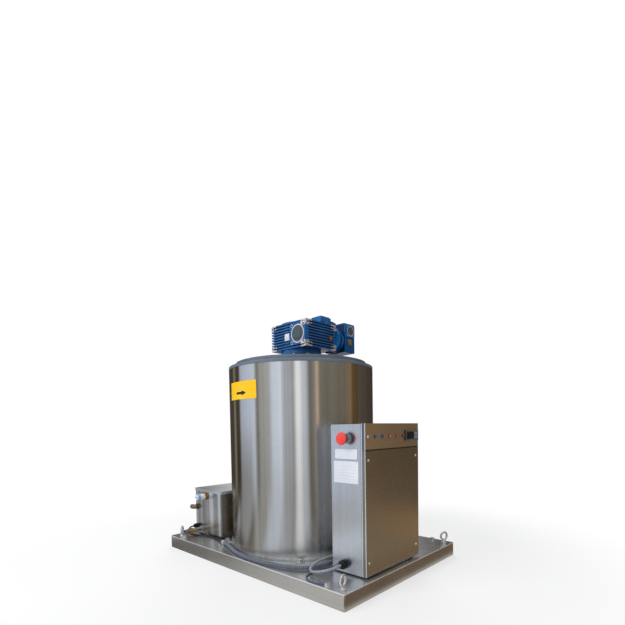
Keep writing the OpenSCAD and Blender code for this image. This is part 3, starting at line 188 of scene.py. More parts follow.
def brushed_steel(name, along, dark, light, rough=0.3, metal=1.0):
    """Stainless sheet brushed along one axis, with soft clouding, fine scratches and finger marks.

    The box and the tray have marks by place: a dark seam, a painted shadow line beside the box's rolled edge,
    painted highlights on the rims, and tints of painted reflection on the front, the near strip and the
    tray's skirt."""
    material, shader, at = finish_named(name)
    grain = 900.0
    scale = [grain, grain, grain]
    scale["xyz".index(along)] = grain * 0.012
    lines = at.stretched(scale).noise(1.0, 4.0, 0.65)
    broad = at.stretched([s * 0.12 for s in scale]).noise(1.0, 2.0)
    cloud = at.noise(7.0, 3.0, 0.55)
    marks = at.noise(38.0, 4.0, 0.6).soft(0.58, 0.75)
    tone = lines * 0.35 + broad * 0.25 + cloud * 0.4
    x, y, z = at.parts()

    gap_shadow_from, rim_from, strip_from, strip_to, rim_to = 0.4625, 0.4657, 0.4681, 0.4786, 0.4802
    near_side = (y < -0.2095) * z.between(0.055, 0.53)
    # Painted shadow line in the gap beside the box's rolled edge.
    painted_gap_shadow = near_side * x.between(gap_shadow_from, rim_from)
    strip = near_side * x.between(strip_from, strip_to)
    # Painted highlights on the two rims either side of the box's near strip.
    box_rim_highlight = near_side * x.between(rim_from, strip_from).most(x.between(strip_to, rim_to))
    front = (x > 0.4794) * (z > 0.056)
    seam = (abs(z - FASCIA_FOOT) < 0.0021) * (x > 0.4792)
    upper = z > FASCIA_FOOT
    skirt = z < 0.0472
    past_bend = (abs(x) - 0.4973).most(abs(y) - 0.3373)
    # A painted highlight along the tray's top edge.
    tray_rim_highlight = z.between(0.0474, 0.0502) * past_bend.soft(0.0, 0.0006)
    # All the painted highlights, near white and less metallic.
    painted_rim_highlight = box_rim_highlight.most(tray_rim_highlight * 0.6)

    # Tints of painted reflection: the tray's skirt, brown at its far end; the box's near strip, dark and
    # bluish above the fascia's foot; the box's front, warm and brightest on the fascia.
    skirt_reflection_tone = (x > 0.4985).tint(linear(158, 155, 148), linear(138, 122, 102))
    strip_reflection_tone = upper.tint(linear(122, 120, 110), linear(74, 84, 100))
    cover_reflection_tone = z.soft(0.1, 0.44).tint(linear(221, 209, 191), linear(193, 183, 165))
    front_reflection_tone = upper.tint(cover_reflection_tone, linear(255, 237, 213))
    colour = tone.soft(0.3, 0.7).tint(dark, light)
    colour = (skirt * 0.55).tint(colour, skirt_reflection_tone)
    colour = (strip * 0.8).tint(colour, strip_reflection_tone)
    colour = (front * 0.92).tint(colour, front_reflection_tone)
    colour = seam.most(painted_gap_shadow * 0.54).tint(colour, linear(16, 14, 12))
    feed(shader, Base_Color=(painted_rim_highlight * 0.8).tint(colour, linear(246, 247, 250)), Metallic=metal - painted_rim_highlight * 0.5,
         Roughness=lines * 0.05 + cloud * 0.07 + marks * 0.05 + (rough - 0.07),
         Normal=(lines + broad * 0.5).bump(0.03, 0.0003))
    return material


def drum_steel():
    """The jacket's sheet: brushed round the drum, with upright streaks where the sheet was rolled.

    It is darker towards its foot in painted shade and less metallic at the very foot, and has a warm band and
    a darker streak of painted reflection, and its seam at the back."""
    material, shader, at = finish_named("drum_steel")
    # Angles round the drum of the back seam and of the two painted reflections.
    seam_angle, reflection_band_angle, reflection_streak_angle = 1.9, -1.588, -0.05
    x, y, z = at.parts()
    angle = y.math("ARCTAN2", x - DRUM_X)
    streaks = angle.noise_on_line(9.0)
    fine = angle.noise_on_line(70.0)
    lines = at.stretched((14.0, 14.0, 1500.0)).noise(1.0, 4.0, 0.65)
    cloud = at.noise(6.0, 3.0)
    tone = (streaks - 0.5) * 0.45 + (fine - 0.5) * 0.25 + (cloud - 0.5) * 0.2 + (lines - 0.5) * 0.2 + 0.5
    seam = abs(angle - seam_angle) < 0.004
    # Painted shade: the sheet darkens towards its foot.
    painted_foot_shade = (1 - z.soft(0.2, 0.62)) * 0.36
    # A warm band and a darker upright streak of painted reflection.
    painted_reflection_band = (1 - abs(angle - reflection_band_angle).soft(0.11, 0.2)) * (1 - z.soft(0.3, 0.6)) * 0.6
    painted_reflection_streak = (1 - abs(angle - reflection_streak_angle).soft(0.03, 0.085)) * 0.75
    foot = 1 - z.soft(0.056, 0.09)
    colour = tone.soft(0.1, 0.9).tint(linear(190, 188, 184), linear(240, 242, 245))
    colour = painted_foot_shade.tint(colour, linear(150, 147, 141))
    colour = painted_reflection_band.tint(colour, linear(136, 121, 95))
    colour = painted_reflection_streak.tint(colour, linear(142, 124, 98))
    feed(shader, Base_Color=(seam * 0.6).tint(colour, linear(112, 106, 98)), Metallic=1 - foot * 0.5,
         Roughness=lines * 0.06 + cloud * 0.03 + seam * 0.15 + 0.125,
         Anisotropic=1.0, Anisotropic_Rotation=0.25, Normal=(lines + seam * 3.0).bump(0.1, 0.0003))
    return material


def tank_steel():
    """The tank's thin sheet: warm, with broad upright bands of painted reflection on its near side, and
    painted shade on the side at the drum.
    """
    material, shader, at = finish_named("tank_steel")
    x, y, z = at.parts()
    tank_left, tank_length = -0.46, 0.2
    # Broad upright bands of painted reflection along the near side.
    painted_reflection_bands = ((x - tank_left) / tank_length).ramp([
        (0.0, 0.35), (0.05, 0.7), (0.13, 0.3), (0.24, 0.55), (0.32, 0.22), (0.45, 0.4), (0.54, 0.42),
        (0.6, 0.95), (0.67, 0.95), (0.73, 0.4), (0.86, 0.35), (0.93, 1.0), (0.98, 1.0), (1.0, 0.4)])
    fine = (x + y * 0.7).noise_on_line(160.0)
    lines = at.stretched((900.0, 900.0, 11.0)).noise(1.0, 4.0, 0.65)
    cloud = at.noise(9.0, 3.0)
    near_side = y < -0.2366
    # Painted shade on the side that faces the drum.
    painted_shade_side = x > -0.2638
    tone = near_side * (painted_reflection_bands.parts()[0] - 0.45) * 0.9 + (fine - 0.5) * 0.25 + (cloud - 0.5) * 0.25 + 0.45
    colour = tone.soft(0.0, 1.0).tint(linear(128, 122, 108), linear(228, 226, 220))
    feed(shader, Base_Color=(painted_shade_side * 0.8).tint(colour, linear(132, 122, 104)), Metallic=1.0,
         Roughness=lines * 0.06 + cloud * 0.08 + 0.2, Normal=lines.bump(0.03, 0.0003))
    return material


def conduit_skin(name, groove_shade, crest, metallic):
    """A corrugated conduit's finish for any number of ribs: painted shade in the grooves, lighter on the
    crests.
    """
    def with_ribs(ribs):
        material, shader, at = finish_named(name)
        along = Sock(at.tree, at.socket.node.outputs["UV"]).parts()[0]
        high = abs((along * ribs).math("FRACT") - 0.5) * 2
        scuff = at.noise(90.0, 4.0, 0.6)
        # Painted shade in the grooves, lighter colour on the crests.
        tone = high.soft(0.1, 0.8) * 0.85 + (scuff - 0.5) * 0.4
        feed(shader, Base_Color=tone.tint(groove_shade, crest), Metallic=metallic,
             Roughness=scuff * 0.2 + 0.26, Normal=scuff.bump(0.1, 0.0003))
        return material
    return with_ribs


def stop_red():
    """The mushroom head: red, with a dark grey underside that also stands in for the shade under the head."""
    material, shader, at = finish_named("stop_red")
    x, y, z = at.parts()
    skin = at.noise(600.0, 2.0, 0.5)
    haze = at.noise(30.0, 4.0, 0.6)
    red = (skin * 0.3 + haze * 0.7).soft(0.25, 0.75).tint(linear(222, 52, 44), linear(240, 84, 74))
    # The underside facing the panel: dark grey, also as painted shade.
    under = y > -0.2298
    feed(shader, Base_Color=under.tint(red, linear(66, 62, 56)), Roughness=haze * 0.2 + 0.22,
         Normal=skin.bump(0.08, 0.0003))
    return material


def blue_enamel(at):
    """The drive's blue enamel: its cast skin, its dust and its colour."""
    cast = at.noise(420.0, 3.0, 0.6)
    dust = at.noise(16.0, 4.0, 0.6).soft(0.5, 0.75)
    tone = (cast * 0.5 + dust * 0.5).soft(0.2, 0.9)
    return cast, dust, tone.tint(linear(0, 88, 152), linear(6, 116, 184))


def gear_paint():
    """Blue enamel over cast aluminium, bare on the machined foot pads, chipped, and with painted shade
    between the fins.
    """
    material, shader, at = finish_named("gear_paint")
    x, y, z = at.parts()
    cast, dust, paint = blue_enamel(at)
    chips = at.noise(160.0, 5.0, 0.7).soft(0.66, 0.7)
    up, along, across = abs(z - MAIN_WORM_Z * MM), abs(x - GEARBOX_X), abs(y)
    side_pads = along.between(0.0715, 0.1030) * across.between(0.0855, 0.0866)
    end_faces = x.between(0.1133, 0.1146) + x.between(-0.0915, -0.0903)
    end_pads = across.between(0.055, 0.0865) * end_faces
    pads = (up.between(0.029, 0.0512) * (side_pads + end_pads)).least(1.0)
    bare = pads.most(chips * 0.4)

    # Painted shade: dark navy deep between the fins of the main gearbox, the first gearbox and the motor.
    main_deep = (0.086 - across).least(0.1025 - along).soft(0.001, 0.0068)
    main_deep = main_deep * (up < 0.0505) * (across < 0.087)
    first_deep = (0.05 - abs(x - MAIN_WORM_X * MM)).least(0.0608 - abs(z - 0.8908)).soft(0.001, 0.0066)
    first_deep = first_deep * y.between(0.1345, 0.1975) * (x > 0.0195)
    from_motor = distance(y - FIRST_WORM_Y * MM, z - FIRST_WORM_Z * MM)
    motor_deep = (0.0605 - from_motor).soft(0.001, 0.01) * x.between(-0.104, 0.0041)
    painted_fin_shade = main_deep.most(first_deep).most(motor_deep)
    paint = (painted_fin_shade * 0.88).tint(paint, linear(6, 18, 44))
    feed(shader, Base_Color=bare.tint(paint, linear(226, 222, 220)), Metallic=bare * 0.55,
         Roughness=dust * 0.18 + cast * 0.1 + painted_fin_shade * 0.2 + 0.26,
         Coat_Weight=(1 - bare) * (1 - painted_fin_shade) * 0.25, Coat_Roughness=0.2, Normal=cast.bump(0.25, 0.0005))
    return material


def worm_flange_paint():
    """Bearing flanges: blue enamel, with a bare turned ring round the cap and bare screw seats."""
    material, shader, at = finish_named("worm_flange_paint")
    x, y, z = at.parts()
    cast, dust, paint = blue_enamel(at)
    main_x, main_z = x - MAIN_WORM_X * MM, z - MAIN_WORM_Z * MM
    first_y, first_z = y - FIRST_WORM_Y * MM, z - FIRST_WORM_Z * MM
    main_seats = distance(abs(main_x) - 0.0328, abs(main_z) - 0.0328) < 0.0062
    first_seats = distance(abs(first_y) - 0.0203, abs(first_z) - 0.0203) < 0.004
    corners = (x > 0.0875) * (abs(main_z) > 0.029)
    main_bare = (distance(main_x, main_z) < 0.0356).most(main_seats).most(corners)
    first_bare = (distance(first_y, first_z) < 0.0212).most(first_seats)
    on_main = y < 0.0
    bare = on_main * main_bare + (1 - on_main) * first_bare
    feed(shader, Base_Color=bare.tint(paint, linear(232, 226, 222)), Metallic=bare * 0.5,
         Roughness=dust * 0.15 + cast * 0.1 + 0.26, Coat_Weight=(1 - bare) * 0.25, Coat_Roughness=0.2,
         Normal=cast.bump(0.25, 0.0005))
    return material


def pedestal_paint():
    """The drive's stand: dark below, and blue like the gearbox from its upper flange upwards."""
    material, shader, at = finish_named("pedestal_paint")
    x, y, z = at.parts()
    cast = at.noise(380.0, 3.0, 0.6)
    dust = at.noise(14.0, 4.0, 0.6)
    tone = (cast * 0.4 + dust * 0.6).soft(0.25, 0.75)
    blue = tone.tint(linear(2, 78, 146), linear(14, 108, 180))
    dark = tone.tint(linear(40, 42, 48), linear(70, 72, 78))
    feed(shader, Base_Color=z.soft(0.8105, 0.8115).tint(dark, blue), Roughness=dust * 0.2 + 0.32,
         Coat_Weight=0.1, Normal=cast.bump(0.25, 0.0005))
    return material


def painted(name, low, high, rough, coat):
    """A satin paint with a fine orange-peel skin, dust and rubbed patches."""
    material, shader, at = finish_named(name)
    peel = at.noise(260.0, 3.0, 0.6)
    dust = at.noise(9.0, 4.0, 0.6)
    rub = at.noise(30.0, 3.0, 0.6).soft(0.55, 0.8)
    feed(shader, Base_Color=(peel * 0.3 + dust * 0.7).soft(0.25, 0.75).tint(low, high),
         Roughness=rough + (peel - 0.5) * 0.12 + rub * 0.1, Coat_Weight=coat, Metallic=0.0,
         Normal=peel.bump(0.18, 0.0004))
    return material


def plated(name, low, high, rough, metallic=1.0):
    """A small plated or turned metal part: turning marks, a slightly clouded skin and dark spots."""
    material, shader, at = finish_named(name)
    turned = at.stretched((300.0, 300.0, 2600.0)).noise(1.0, 3.0)
    cloud = at.noise(55.0, 4.0, 0.6)
    spots = at.cells(240.0) < 0.12
    colour = (turned * 0.4 + cloud * 0.6).soft(0.3, 0.7).tint(low, high)
    feed(shader, Base_Color=(spots * 0.25).tint(colour, (0.05, 0.045, 0.04, 1.0)), Metallic=metallic,
         Roughness=rough + (cloud - 0.5) * 0.2 + turned * 0.06, Normal=turned.bump(0.12, 0.0003))
    return material


def moulded(name, low, high, rough=0.35, grain=900.0, depth=0.2):
    """Moulded plastic or rubber with a fine grained skin and a slight haze."""
    material, shader, at = finish_named(name)
    skin = at.noise(grain, 2.0, 0.5)
    haze = at.noise(24.0, 4.0, 0.6)
    feed(shader, Base_Color=(skin * 0.3 + haze * 0.7).soft(0.25, 0.75).tint(low, high),
         Roughness=rough + (haze - 0.5) * 0.22 + (skin - 0.5) * 0.1, Normal=skin.bump(depth, 0.0003))
    return material


def lamp_lenses():
    """Five lenses told apart by their place along the fascia, bright in the middle."""
    material, shader, at = finish_named("lamp_lenses")
    x, y, z = at.parts()
    blue, orange = linear(34, 92, 152), linear(222, 118, 40)
    red, brown = linear(206, 74, 34), linear(112, 84, 44)
    first_lamp, row_length = -0.18, 0.2
    place = (y - first_lamp) / row_length
    colour = place.ramp([(0.0, blue), (0.2, blue), (0.4, orange), (0.6, red), (0.8, brown)], "CONSTANT")
    facets = at.cells(700.0)
    feed(shader, Base_Color=facets.soft(0.0, 1.2).tint(colour, (0.02, 0.02, 0.02, 1.0)),
         Roughness=facets * 0.2 + 0.12, Coat_Weight=0.6, Emission_Color=colour, Emission_Strength=0.12,
         Normal=facets.bump(0.3, 0.0004))
    return material


def inlet_plastics():
    """The water inlet: brass at the wall, a white body and a pale blue collar, told apart along its axis."""
    material, shader, at = finish_named("inlet_plastics")
    x, y, z = at.parts()
    skin = at.noise(700.0, 2.0)
    brass = y.between(-0.2466, -0.2371)
    collar = y.between(-0.2795, -0.2681)
    body = skin.tint(linear(226, 228, 232), linear(244, 246, 248))
    body = collar.tint(body, linear(150, 190, 222))
    feed(shader, Base_Color=brass.tint(body, linear(196, 150, 92)), Metallic=brass,
         Roughness=skin * 0.15 + 0.28 - brass * 0.06, Normal=skin.bump(0.15, 0.0003))
    return material


def drain_metals():
    """The drain: a bright pipe, a brass union and a dark end, told apart along its axis."""
    material, shader, at = finish_named("drain_metals")
    x, y, z = at.parts()
    turned = at.stretched((200.0, 2600.0, 200.0)).noise(1.0, 3.0)
    cloud = at.noise(60.0, 3.0)
    union = y.between(-0.2985, -0.2838)
    end = y < -0.2985
    pipe = (turned * 0.5 + cloud * 0.5).tint(linear(170, 172, 176), linear(236, 238, 240))
    pipe = union.tint(pipe, linear(206, 162, 74))
    feed(shader, Base_Color=end.tint(pipe, linear(142, 140, 140)), Metallic=1 - end * 0.3,
         Roughness=turned * 0.15 + end * 0.2 + 0.2, Normal=turned.bump(0.15, 0.0003))
    return material


def sign_paint():
    """A yellow sign plate with a plain arrow, drawn by angle and height on the drum."""
    material, shader, at = finish_named("sign_paint")
    x, y, z = at.parts()
    arrow_tip, arrow_height = -87.2, 0.6465
    angle = y.math("ARCTAN2", x - DRUM_X) * (180 / math.pi)
    off_middle = abs(z - arrow_height)
    shaft = angle.between(-99.5, -91.5) * (off_middle < 0.0044)
    head = angle.between(-92.5, arrow_tip) * (off_middle < (arrow_tip - angle) * 0.0019)
    skin = at.noise(300.0, 3.0)
    haze = at.noise(14.0, 3.0)
    yellow = (haze * 0.7 + skin * 0.3).soft(0.25, 0.75).tint(linear(250, 190, 2), linear(255, 206, 20))
    feed(shader, Base_Color=shaft.most(head).tint(yellow, linear(18, 20, 34)), Roughness=haze * 0.2 + 0.3,
         Normal=skin.bump(0.08, 0.0003))
    return material


def plate_paint():
    """Blank white plates with faint ruled lines on the lower one."""
    material, shader, at = finish_named("plate_paint")
    x, y, z = at.parts()
    skin = at.noise(420.0, 3.0)
    haze = at.noise(22.0, 3.0)
    rule_foot, rule_gap = 0.343, 0.0098
    ruled = ((z - rule_foot) / rule_gap).math("FRACT") < 0.1
    rules = ruled * z.between(0.352, 0.402) * x.between(0.361, 0.446)
    ground = (haze * 0.6 + skin * 0.4).soft(0.25, 0.75).tint(linear(206, 212, 222), linear(228, 232, 238))
    feed(shader, Base_Color=(rules * 0.3).tint(ground, linear(120, 126, 140)), Roughness=haze * 0.2 + 0.3,
         Normal=skin.bump(0.1, 0.0002))
    return material


STEEL_X = brushed_steel("steel_brushed_along", "x", linear(178, 177, 174), linear(214, 216, 218), metal=0.85)
STEEL_Z = brushed_steel("steel_brushed_upright", "z", linear(206, 207, 209), linear(222, 225, 229),
                        rough=0.27)
STEEL_TRAY = brushed_steel("steel_tray", "x", linear(204, 203, 200), linear(230, 230, 230),
                           rough=0.26, metal=0.88)
DRUM_STEEL = drum_steel()
TANK_STEEL = tank_steel()
GEAR_PAINT = gear_paint()
PEDESTAL_PAINT = pedestal_paint()
LID_PAINT = painted("lid_paint", linear(84, 94, 108), linear(116, 126, 140), 0.42, 0.05)
DARK_PAINT = painted("dark_paint", linear(46, 46, 50), linear(78, 78, 82), 0.45, 0.1)
CAP_PAINT = painted("cap_paint", linear(58, 70, 80), linear(80, 92, 100), 0.42, 0.1)
ZINC = plated("zinc_plate", linear(204, 206, 211), linear(246, 247, 249), 0.25, 0.8)
FLANGE_PAINT = worm_flange_paint()
BRASS = plated("brass", linear(168, 132, 80), linear(222, 190, 132), 0.26)
DULL_BRASS = plated("dull_brass", linear(112, 98, 78), linear(176, 160, 134), 0.34)
COPPER = plated("copper", linear(150, 84, 54), linear(214, 140, 102), 0.3)
BLACK_PLASTIC = moulded("black_plastic", linear(20, 21, 24), linear(42, 43, 47), 0.38)
RED_PLASTIC = stop_red()
FLOAT_PLASTIC = moulded("float_plastic", linear(206, 108, 34), linear(236, 140, 58))
PUMP_PLASTIC = moulded("pump_plastic", linear(28, 40, 58), linear(50, 66, 88))
GLAND = moulded("gland_black", linear(7, 7, 9), linear(20, 20, 23), 0.5)
CONTROL_PLASTIC = moulded("control_plastic", linear(52, 55, 58), linear(84, 87, 90))
FOAM = moulded("foam", linear(222, 206, 150), linear(246, 236, 196), 0.8, 260.0, 0.6)
RUBBER = moulded("rubber", linear(18, 18, 18), linear(38, 38, 38), 0.7, 500.0, 0.3)
CABLE_JACKET = moulded("cable_jacket", linear(26, 27, 30), linear(54, 56, 62), 0.5)
GREY_CONDUIT = conduit_skin("conduit_grey", linear(40, 44, 52), linear(138, 148, 166), 0.1)
SILVER_CONDUIT = conduit_skin("conduit_silver", linear(62, 68, 78), linear(214, 222, 234), 0.35)
EARTH_SLEEVE = moulded("earth_sleeve", linear(62, 78, 100), linear(96, 112, 134), 0.45)
LAMPS = lamp_lenses()
HEM_STEEL = plated("hem_steel", linear(206, 208, 212), linear(240, 242, 245), 0.22)
DULL_STEEL = plated("dull_steel", linear(120, 122, 128), linear(182, 184, 188), 0.34)
TAN_PLATE = plated("tan_plate", linear(132, 104, 72), linear(176, 146, 108), 0.36, 0.4)
WINDOW = moulded("window", linear(14, 16, 20), linear(30, 34, 40), 0.16, 900.0, 0.03)
KEYS = moulded("keys", linear(112, 122, 138), linear(150, 160, 176), 0.42)
FRAME_GREY = moulded("frame_grey", linear(84, 79, 72), linear(112, 106, 98), 0.4)
INLET = inlet_plastics()
DRAIN = drain_metals()
SIGN = sign_paint()
PLATE = plate_paint()

NODE_FINISH = {
    STEEL_TRAY: "base_tray",
    STEEL_X: "drum_foot_ring drum_lugs water_trough scraper_arms water_pan tank_lid water_riser"
             " mounting_plate",
    STEEL_Z: "box_body box_fascia box_cover",
    TANK_STEEL: "water_tank",
    DRUM_STEEL: "drum_jacket",
    GEAR_PAINT: "main_gearbox gearbox_top_cover input_flange small_gearbox motor_flange motor_frame fan_cowl"
                " terminal_box terminal_lid",
    LID_PAINT: "lid_ring lid_cover",
    DARK_PAINT: "base_rails bearing_spider estop_stem",
    CAP_PAINT: "worm_end_caps",
    PEDESTAL_PAINT: "gearbox_pedestal",
    ZINC: "eye_bolts hex_bolts cover_screws cable_clips main_shaft ice_blade evaporator_wall"
          " evaporator_sleeve",
    FLANGE_PAINT: "worm_flanges",
    BRASS: "oil_plugs bottom_bush",
    DULL_BRASS: "overflow_elbow",
    COPPER: "refrigerant_pipes",
    BLACK_PLASTIC: "controller motor_fan",
    GLAND: "cable_glands",
    DULL_STEEL: "estop_bezel",
    CONTROL_PLASTIC: "contactor",
    RED_PLASTIC: "estop_head",
    LAMPS: "pilot_lamps",
    INLET: "inlet_valve",
    DRAIN: "drain_pipe",
    FLOAT_PLASTIC: "float_arm",
    PUMP_PLASTIC: "water_pump",
    FOAM: "drum_insulation",
    RUBBER: "rubber_feet",
    CABLE_JACKET: "pump_cable pump_conduit motor_conduit",
    EARTH_SLEEVE: "earth_wire",
}
for finish, names in NODE_FINISH.items():
    for name in names.split():
        NODES[name].data.materials.clear()
        NODES[name].data.materials.append(finish)


# Camera

def aim_camera():
    """The photo's camera, from its heading, pitch and roll in radians and its place in metres."""
    heading, pitch, roll = 0.7407, 0.0415, 0.015
    ahead = Vector((-math.sin(heading) * math.cos(pitch), math.cos(heading) * math.cos(pitch),
                    -math.sin(pitch)))
    level = Vector((math.cos(heading), math.sin(heading), 0))
    down = ahead.cross(level)
    right = math.cos(roll) * level + math.sin(roll) * down
    up = math.sin(roll) * level - math.cos(roll) * down
    bpy.ops.object.camera_add()
    camera = bpy.context.object
    camera.matrix_world = Matrix((right, up, -ahead)).transposed().to_4x4()
    camera.location = (1.2198, -1.18852, 0.51308)
    camera.data.lens = 23.485
    camera.data.shift_x = -0.0234
    camera.data.shift_y = 0.2122
    camera.data.clip_end = 60
    bpy.context.scene.camera = camera


aim_camera()


# Cords

RIB_SHAPE = (0, 0.5, 1, 0.5)


def smooth_route(points, step):
    """Points about a step apart on a smooth line through a route's points."""
    pts = [Vector(p) * MM for p in points]
    ends = [pts[0] * 2 - pts[1]] + pts + [pts[-1] * 2 - pts[-2]]
    line = []
    for a, b, c, d in zip(ends, ends[1:], ends[2:], ends[3:]):
        count = max(2, round((c - b).length / step))
        for i in range(count):
            t = i / count
            bend = (2 * a - 5 * b + 4 * c - d) * t * t + (3 * b - a - 3 * c + d) * t ** 3
            line.append(0.5 * (2 * b + (c - a) * t + bend))
    return line + [pts[-1]]


def lay_cord(name, node, points, radius, finish, rib=0.0, step=0.004):
    """A cord along a route. A rib greater than 0 makes it a corrugated conduit."""
    line = smooth_route(points, step)
    curve = bpy.data.curves.new(name, "CURVE")
    curve.dimensions = "3D"
    curve.bevel_depth = radius * MM
    curve.bevel_resolution = 3
    curve.use_fill_caps = True
    spline = curve.splines.new("POLY")
    spline.points.add(len(line) - 1)
    for i, (point, place) in enumerate(zip(spline.points, line)):
        point.co = (*place, 1.0)
        point.radius = 1.0 - rib * RIB_SHAPE[i % len(RIB_SHAPE)]
    curve.materials.append(finish((len(line) - 1) / len(RIB_SHAPE)) if rib else finish)
    piece = bpy.data.objects.new(name, curve)
    bpy.context.collection.objects.link(piece)
    length = sum((b - a).length for a, b in zip(line, line[1:]))
    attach(piece, "root")
    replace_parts(piece, node)


lay_cord("pump_cable_lead", "pump_cable", [
    (-450, -257.3, 84), (-450, -272, 82), (-446, -283, 76), (-438, -288, 66), (-427, -284, 57),
    (-412, -275, 53.5), (-392, -264, 53.5), (-368, -255, 53.5), (-342, -250, 53.5), (-312, -248, 53.5),
    (-282, -250, 53.5), (-254, -256, 53.5), (-228, -263, 55), (-205, -268, 57.5)],
    3, CABLE_JACKET)
lay_cord("pump_conduit_hose", "pump_conduit", [
    (-205, -268, 57.5), (-175, -274, 57.5), (-138, -284, 57.5), (-100, -297, 57.5), (-60, -310, 57.5),
    (-20, -319, 57.5), (22, -325, 57.5), (66, -327, 57.5), (110, -325, 57.5), (152, -318, 57.5),
    (193, -309, 57.5), (230, -298, 57.5), (260, -282, 57.5), (282, -258, 57.5), (297, -228, 57.5),
    (307, -195, 59), (313, -165, 61), (314, -148, 62)],
    7, GREY_CONDUIT, rib=0.24, step=0.0014)
lay_cord("motor_conduit_hose", "motor_conduit", [
    (395, -235.3, 82), (394, -253, 81), (385, -271, 77), (369, -285, 72), (349, -292, 67),
    (328, -292, 64), (311, -282, 65), (303, -265, 70), (302, -245, 76), (305, -222, 80), (310, -195, 82),
    (315, -165, 83), (317, -125, 83), (319, -65, 80), (320, 0, 77), (319, 55, 71), (314, 98, 64),
    (303, 140, 58), (283, 180, 55.5), (257, 218, 55.5), (226, 255, 55.5), (185, 280, 55.5),
    (140, 296, 55.5), (95, 306, 55.5), (50, 312, 56), (8, 312, 59), (-24, 306, 69), (-46, 300, 89),
    (-57, 297, 120), (-60, 296, 160), (-60, 296, 300), (-60, 296, 440), (-60, 296, 580), (-60, 296, 720),
    (-60, 294, 760), (-60, 288, 790), (-60, 279, 825), (-60, 271, 862), (-60, 266, 900), (-60, 261, 934),
    (-60, 251, 963), (-60, 236, 984), (-60, 220, 990.5)],
    5, SILVER_CONDUIT, rib=0.2, step=0.00115)
lay_cord("earth_lead", "earth_wire", [
    (407.5, -321, 53), (394, -327, 52.5), (378, -331, 52.5), (360, -331, 52.5), (341, -326, 52.5),
    (325, -315, 52.5), (315, -298, 52.5), (314, -276, 52.5), (320, -253, 52.5), (327, -230, 53),
    (332, -208, 57), (335.5, -195, 63.5), (339.5, -185.5, 69.8)],
    2, EARTH_SLEEVE)


# Modelling

def start_piece():
    """Leaves edit mode and deselects everything."""
    if bpy.context.object and bpy.context.object.mode != "OBJECT":
        bpy.ops.object.mode_set(mode="OBJECT")
    bpy.ops.object.select_all(action="DESELECT")


def block(name, low, high):
    """A block between two corners, in millimetres."""
    start_piece()
    low, high = Vector(low) * MM, Vector(high) * MM
    bpy.ops.mesh.primitive_cube_add(size=1, location=(low + high) / 2)
    piece = bpy.context.object
    piece.name = name
    piece.scale = high - low
    bpy.ops.object.transform_apply(location=True, rotation=True, scale=True)
    return piece


def drum_band(name, radius, low, high, sides):
    """An open upright tube on the drum's axis, in millimetres."""
    start_piece()
    bpy.ops.mesh.primitive_cylinder_add(
        vertices=sides, radius=radius * MM, depth=(high - low) * MM, end_fill_type="NOTHING",
        location=(DRUM_X, 0, (low + high) / 2 * MM))
    piece = bpy.context.object
    piece.name = name
    bpy.ops.object.transform_apply(location=True, rotation=True, scale=True)
    return piece


def pick(piece, wanted, mode="FACE"):
    """Leaves the piece in edit mode with the wanted faces or edges selected."""
    bpy.ops.object.mode_set(mode="EDIT")
    bpy.ops.mesh.select_mode(type=mode)
    bpy.ops.mesh.select_all(action="DESELECT")
    bpy.ops.object.mode_set(mode="OBJECT")
    mesh = piece.data
    for part in mesh.polygons if mode == "FACE" else mesh.edges:
        part.select = wanted(part)
    bpy.ops.object.mode_set(mode="EDIT")


def apply(piece, kind, **settings):
    """Adds a modifier to the piece and applies it."""
    bpy.ops.object.mode_set(mode="OBJECT")
    modifier = piece.modifiers.new(kind, kind)
    for key, value in settings.items():
        setattr(modifier, key, value)
    bpy.ops.object.modifier_apply(modifier=modifier.name)


def done(piece, finish, body="root", angle=35):
    """Shades a finished piece, gives it its finish, and lets it ride a body."""
    bpy.ops.object.mode_set(mode="OBJECT")
    bpy.ops.object.shade_smooth_by_angle(angle=math.radians(angle))
    piece.data.materials.clear()
    piece.data.materials.append(finish)
    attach(piece, body)
    return piece


def jacket_sheet():
    """The drum's rolled jacket: a plain tube of thin sheet."""
    piece = drum_band("jacket_sheet", DRUM_RADIUS, 53, 746, 256)
    apply(piece, "SOLIDIFY", thickness=1.5 * MM, offset=-1.0, use_rim=True)
    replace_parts(done(piece, DRUM_STEEL), "drum_jacket")


def sign_plate():
    """The yellow sign, bent round the drum between two angles."""
    piece = drum_band("arrow_sign", DRUM_RADIUS + 0.3, 624, 689, 720)
    low, high = math.radians(-110), math.radians(-77.5)

    def outside(face):
        turn = math.atan2(face.center.y, face.center.x - DRUM_X)
        return not low < turn < high
    pick(piece, outside)
    bpy.ops.mesh.delete(type="FACE")
    apply(piece, "SOLIDIFY", thickness=0.6 * MM, offset=1.0, use_rim=True)
    done(piece, SIGN)


def rounded_plate(name, low, high, corner):
    """A thin plate with rounded corners and softened edges. Its thinnest side is its thickness."""
    piece = block(name, low, high)
    size = [h - l for l, h in zip(low, high)]
    thin = size.index(min(size))

    def across(edge):
        a, b = (piece.data.vertices[i].co for i in edge.vertices)
        return abs((b - a).normalized()[thin]) > 0.9
    pick(piece, across, "EDGE")
    bpy.ops.mesh.bevel(offset=corner * MM, segments=5, affect="EDGES")
    apply(piece, "BEVEL", width=min(size) * 0.3 * MM, segments=2, limit_method="ANGLE")
    return piece


def flat_plate(name, low, high, corner, finish):
    """A rounded plate, finished as it is."""
    done(rounded_plate(name, low, high, corner), finish)


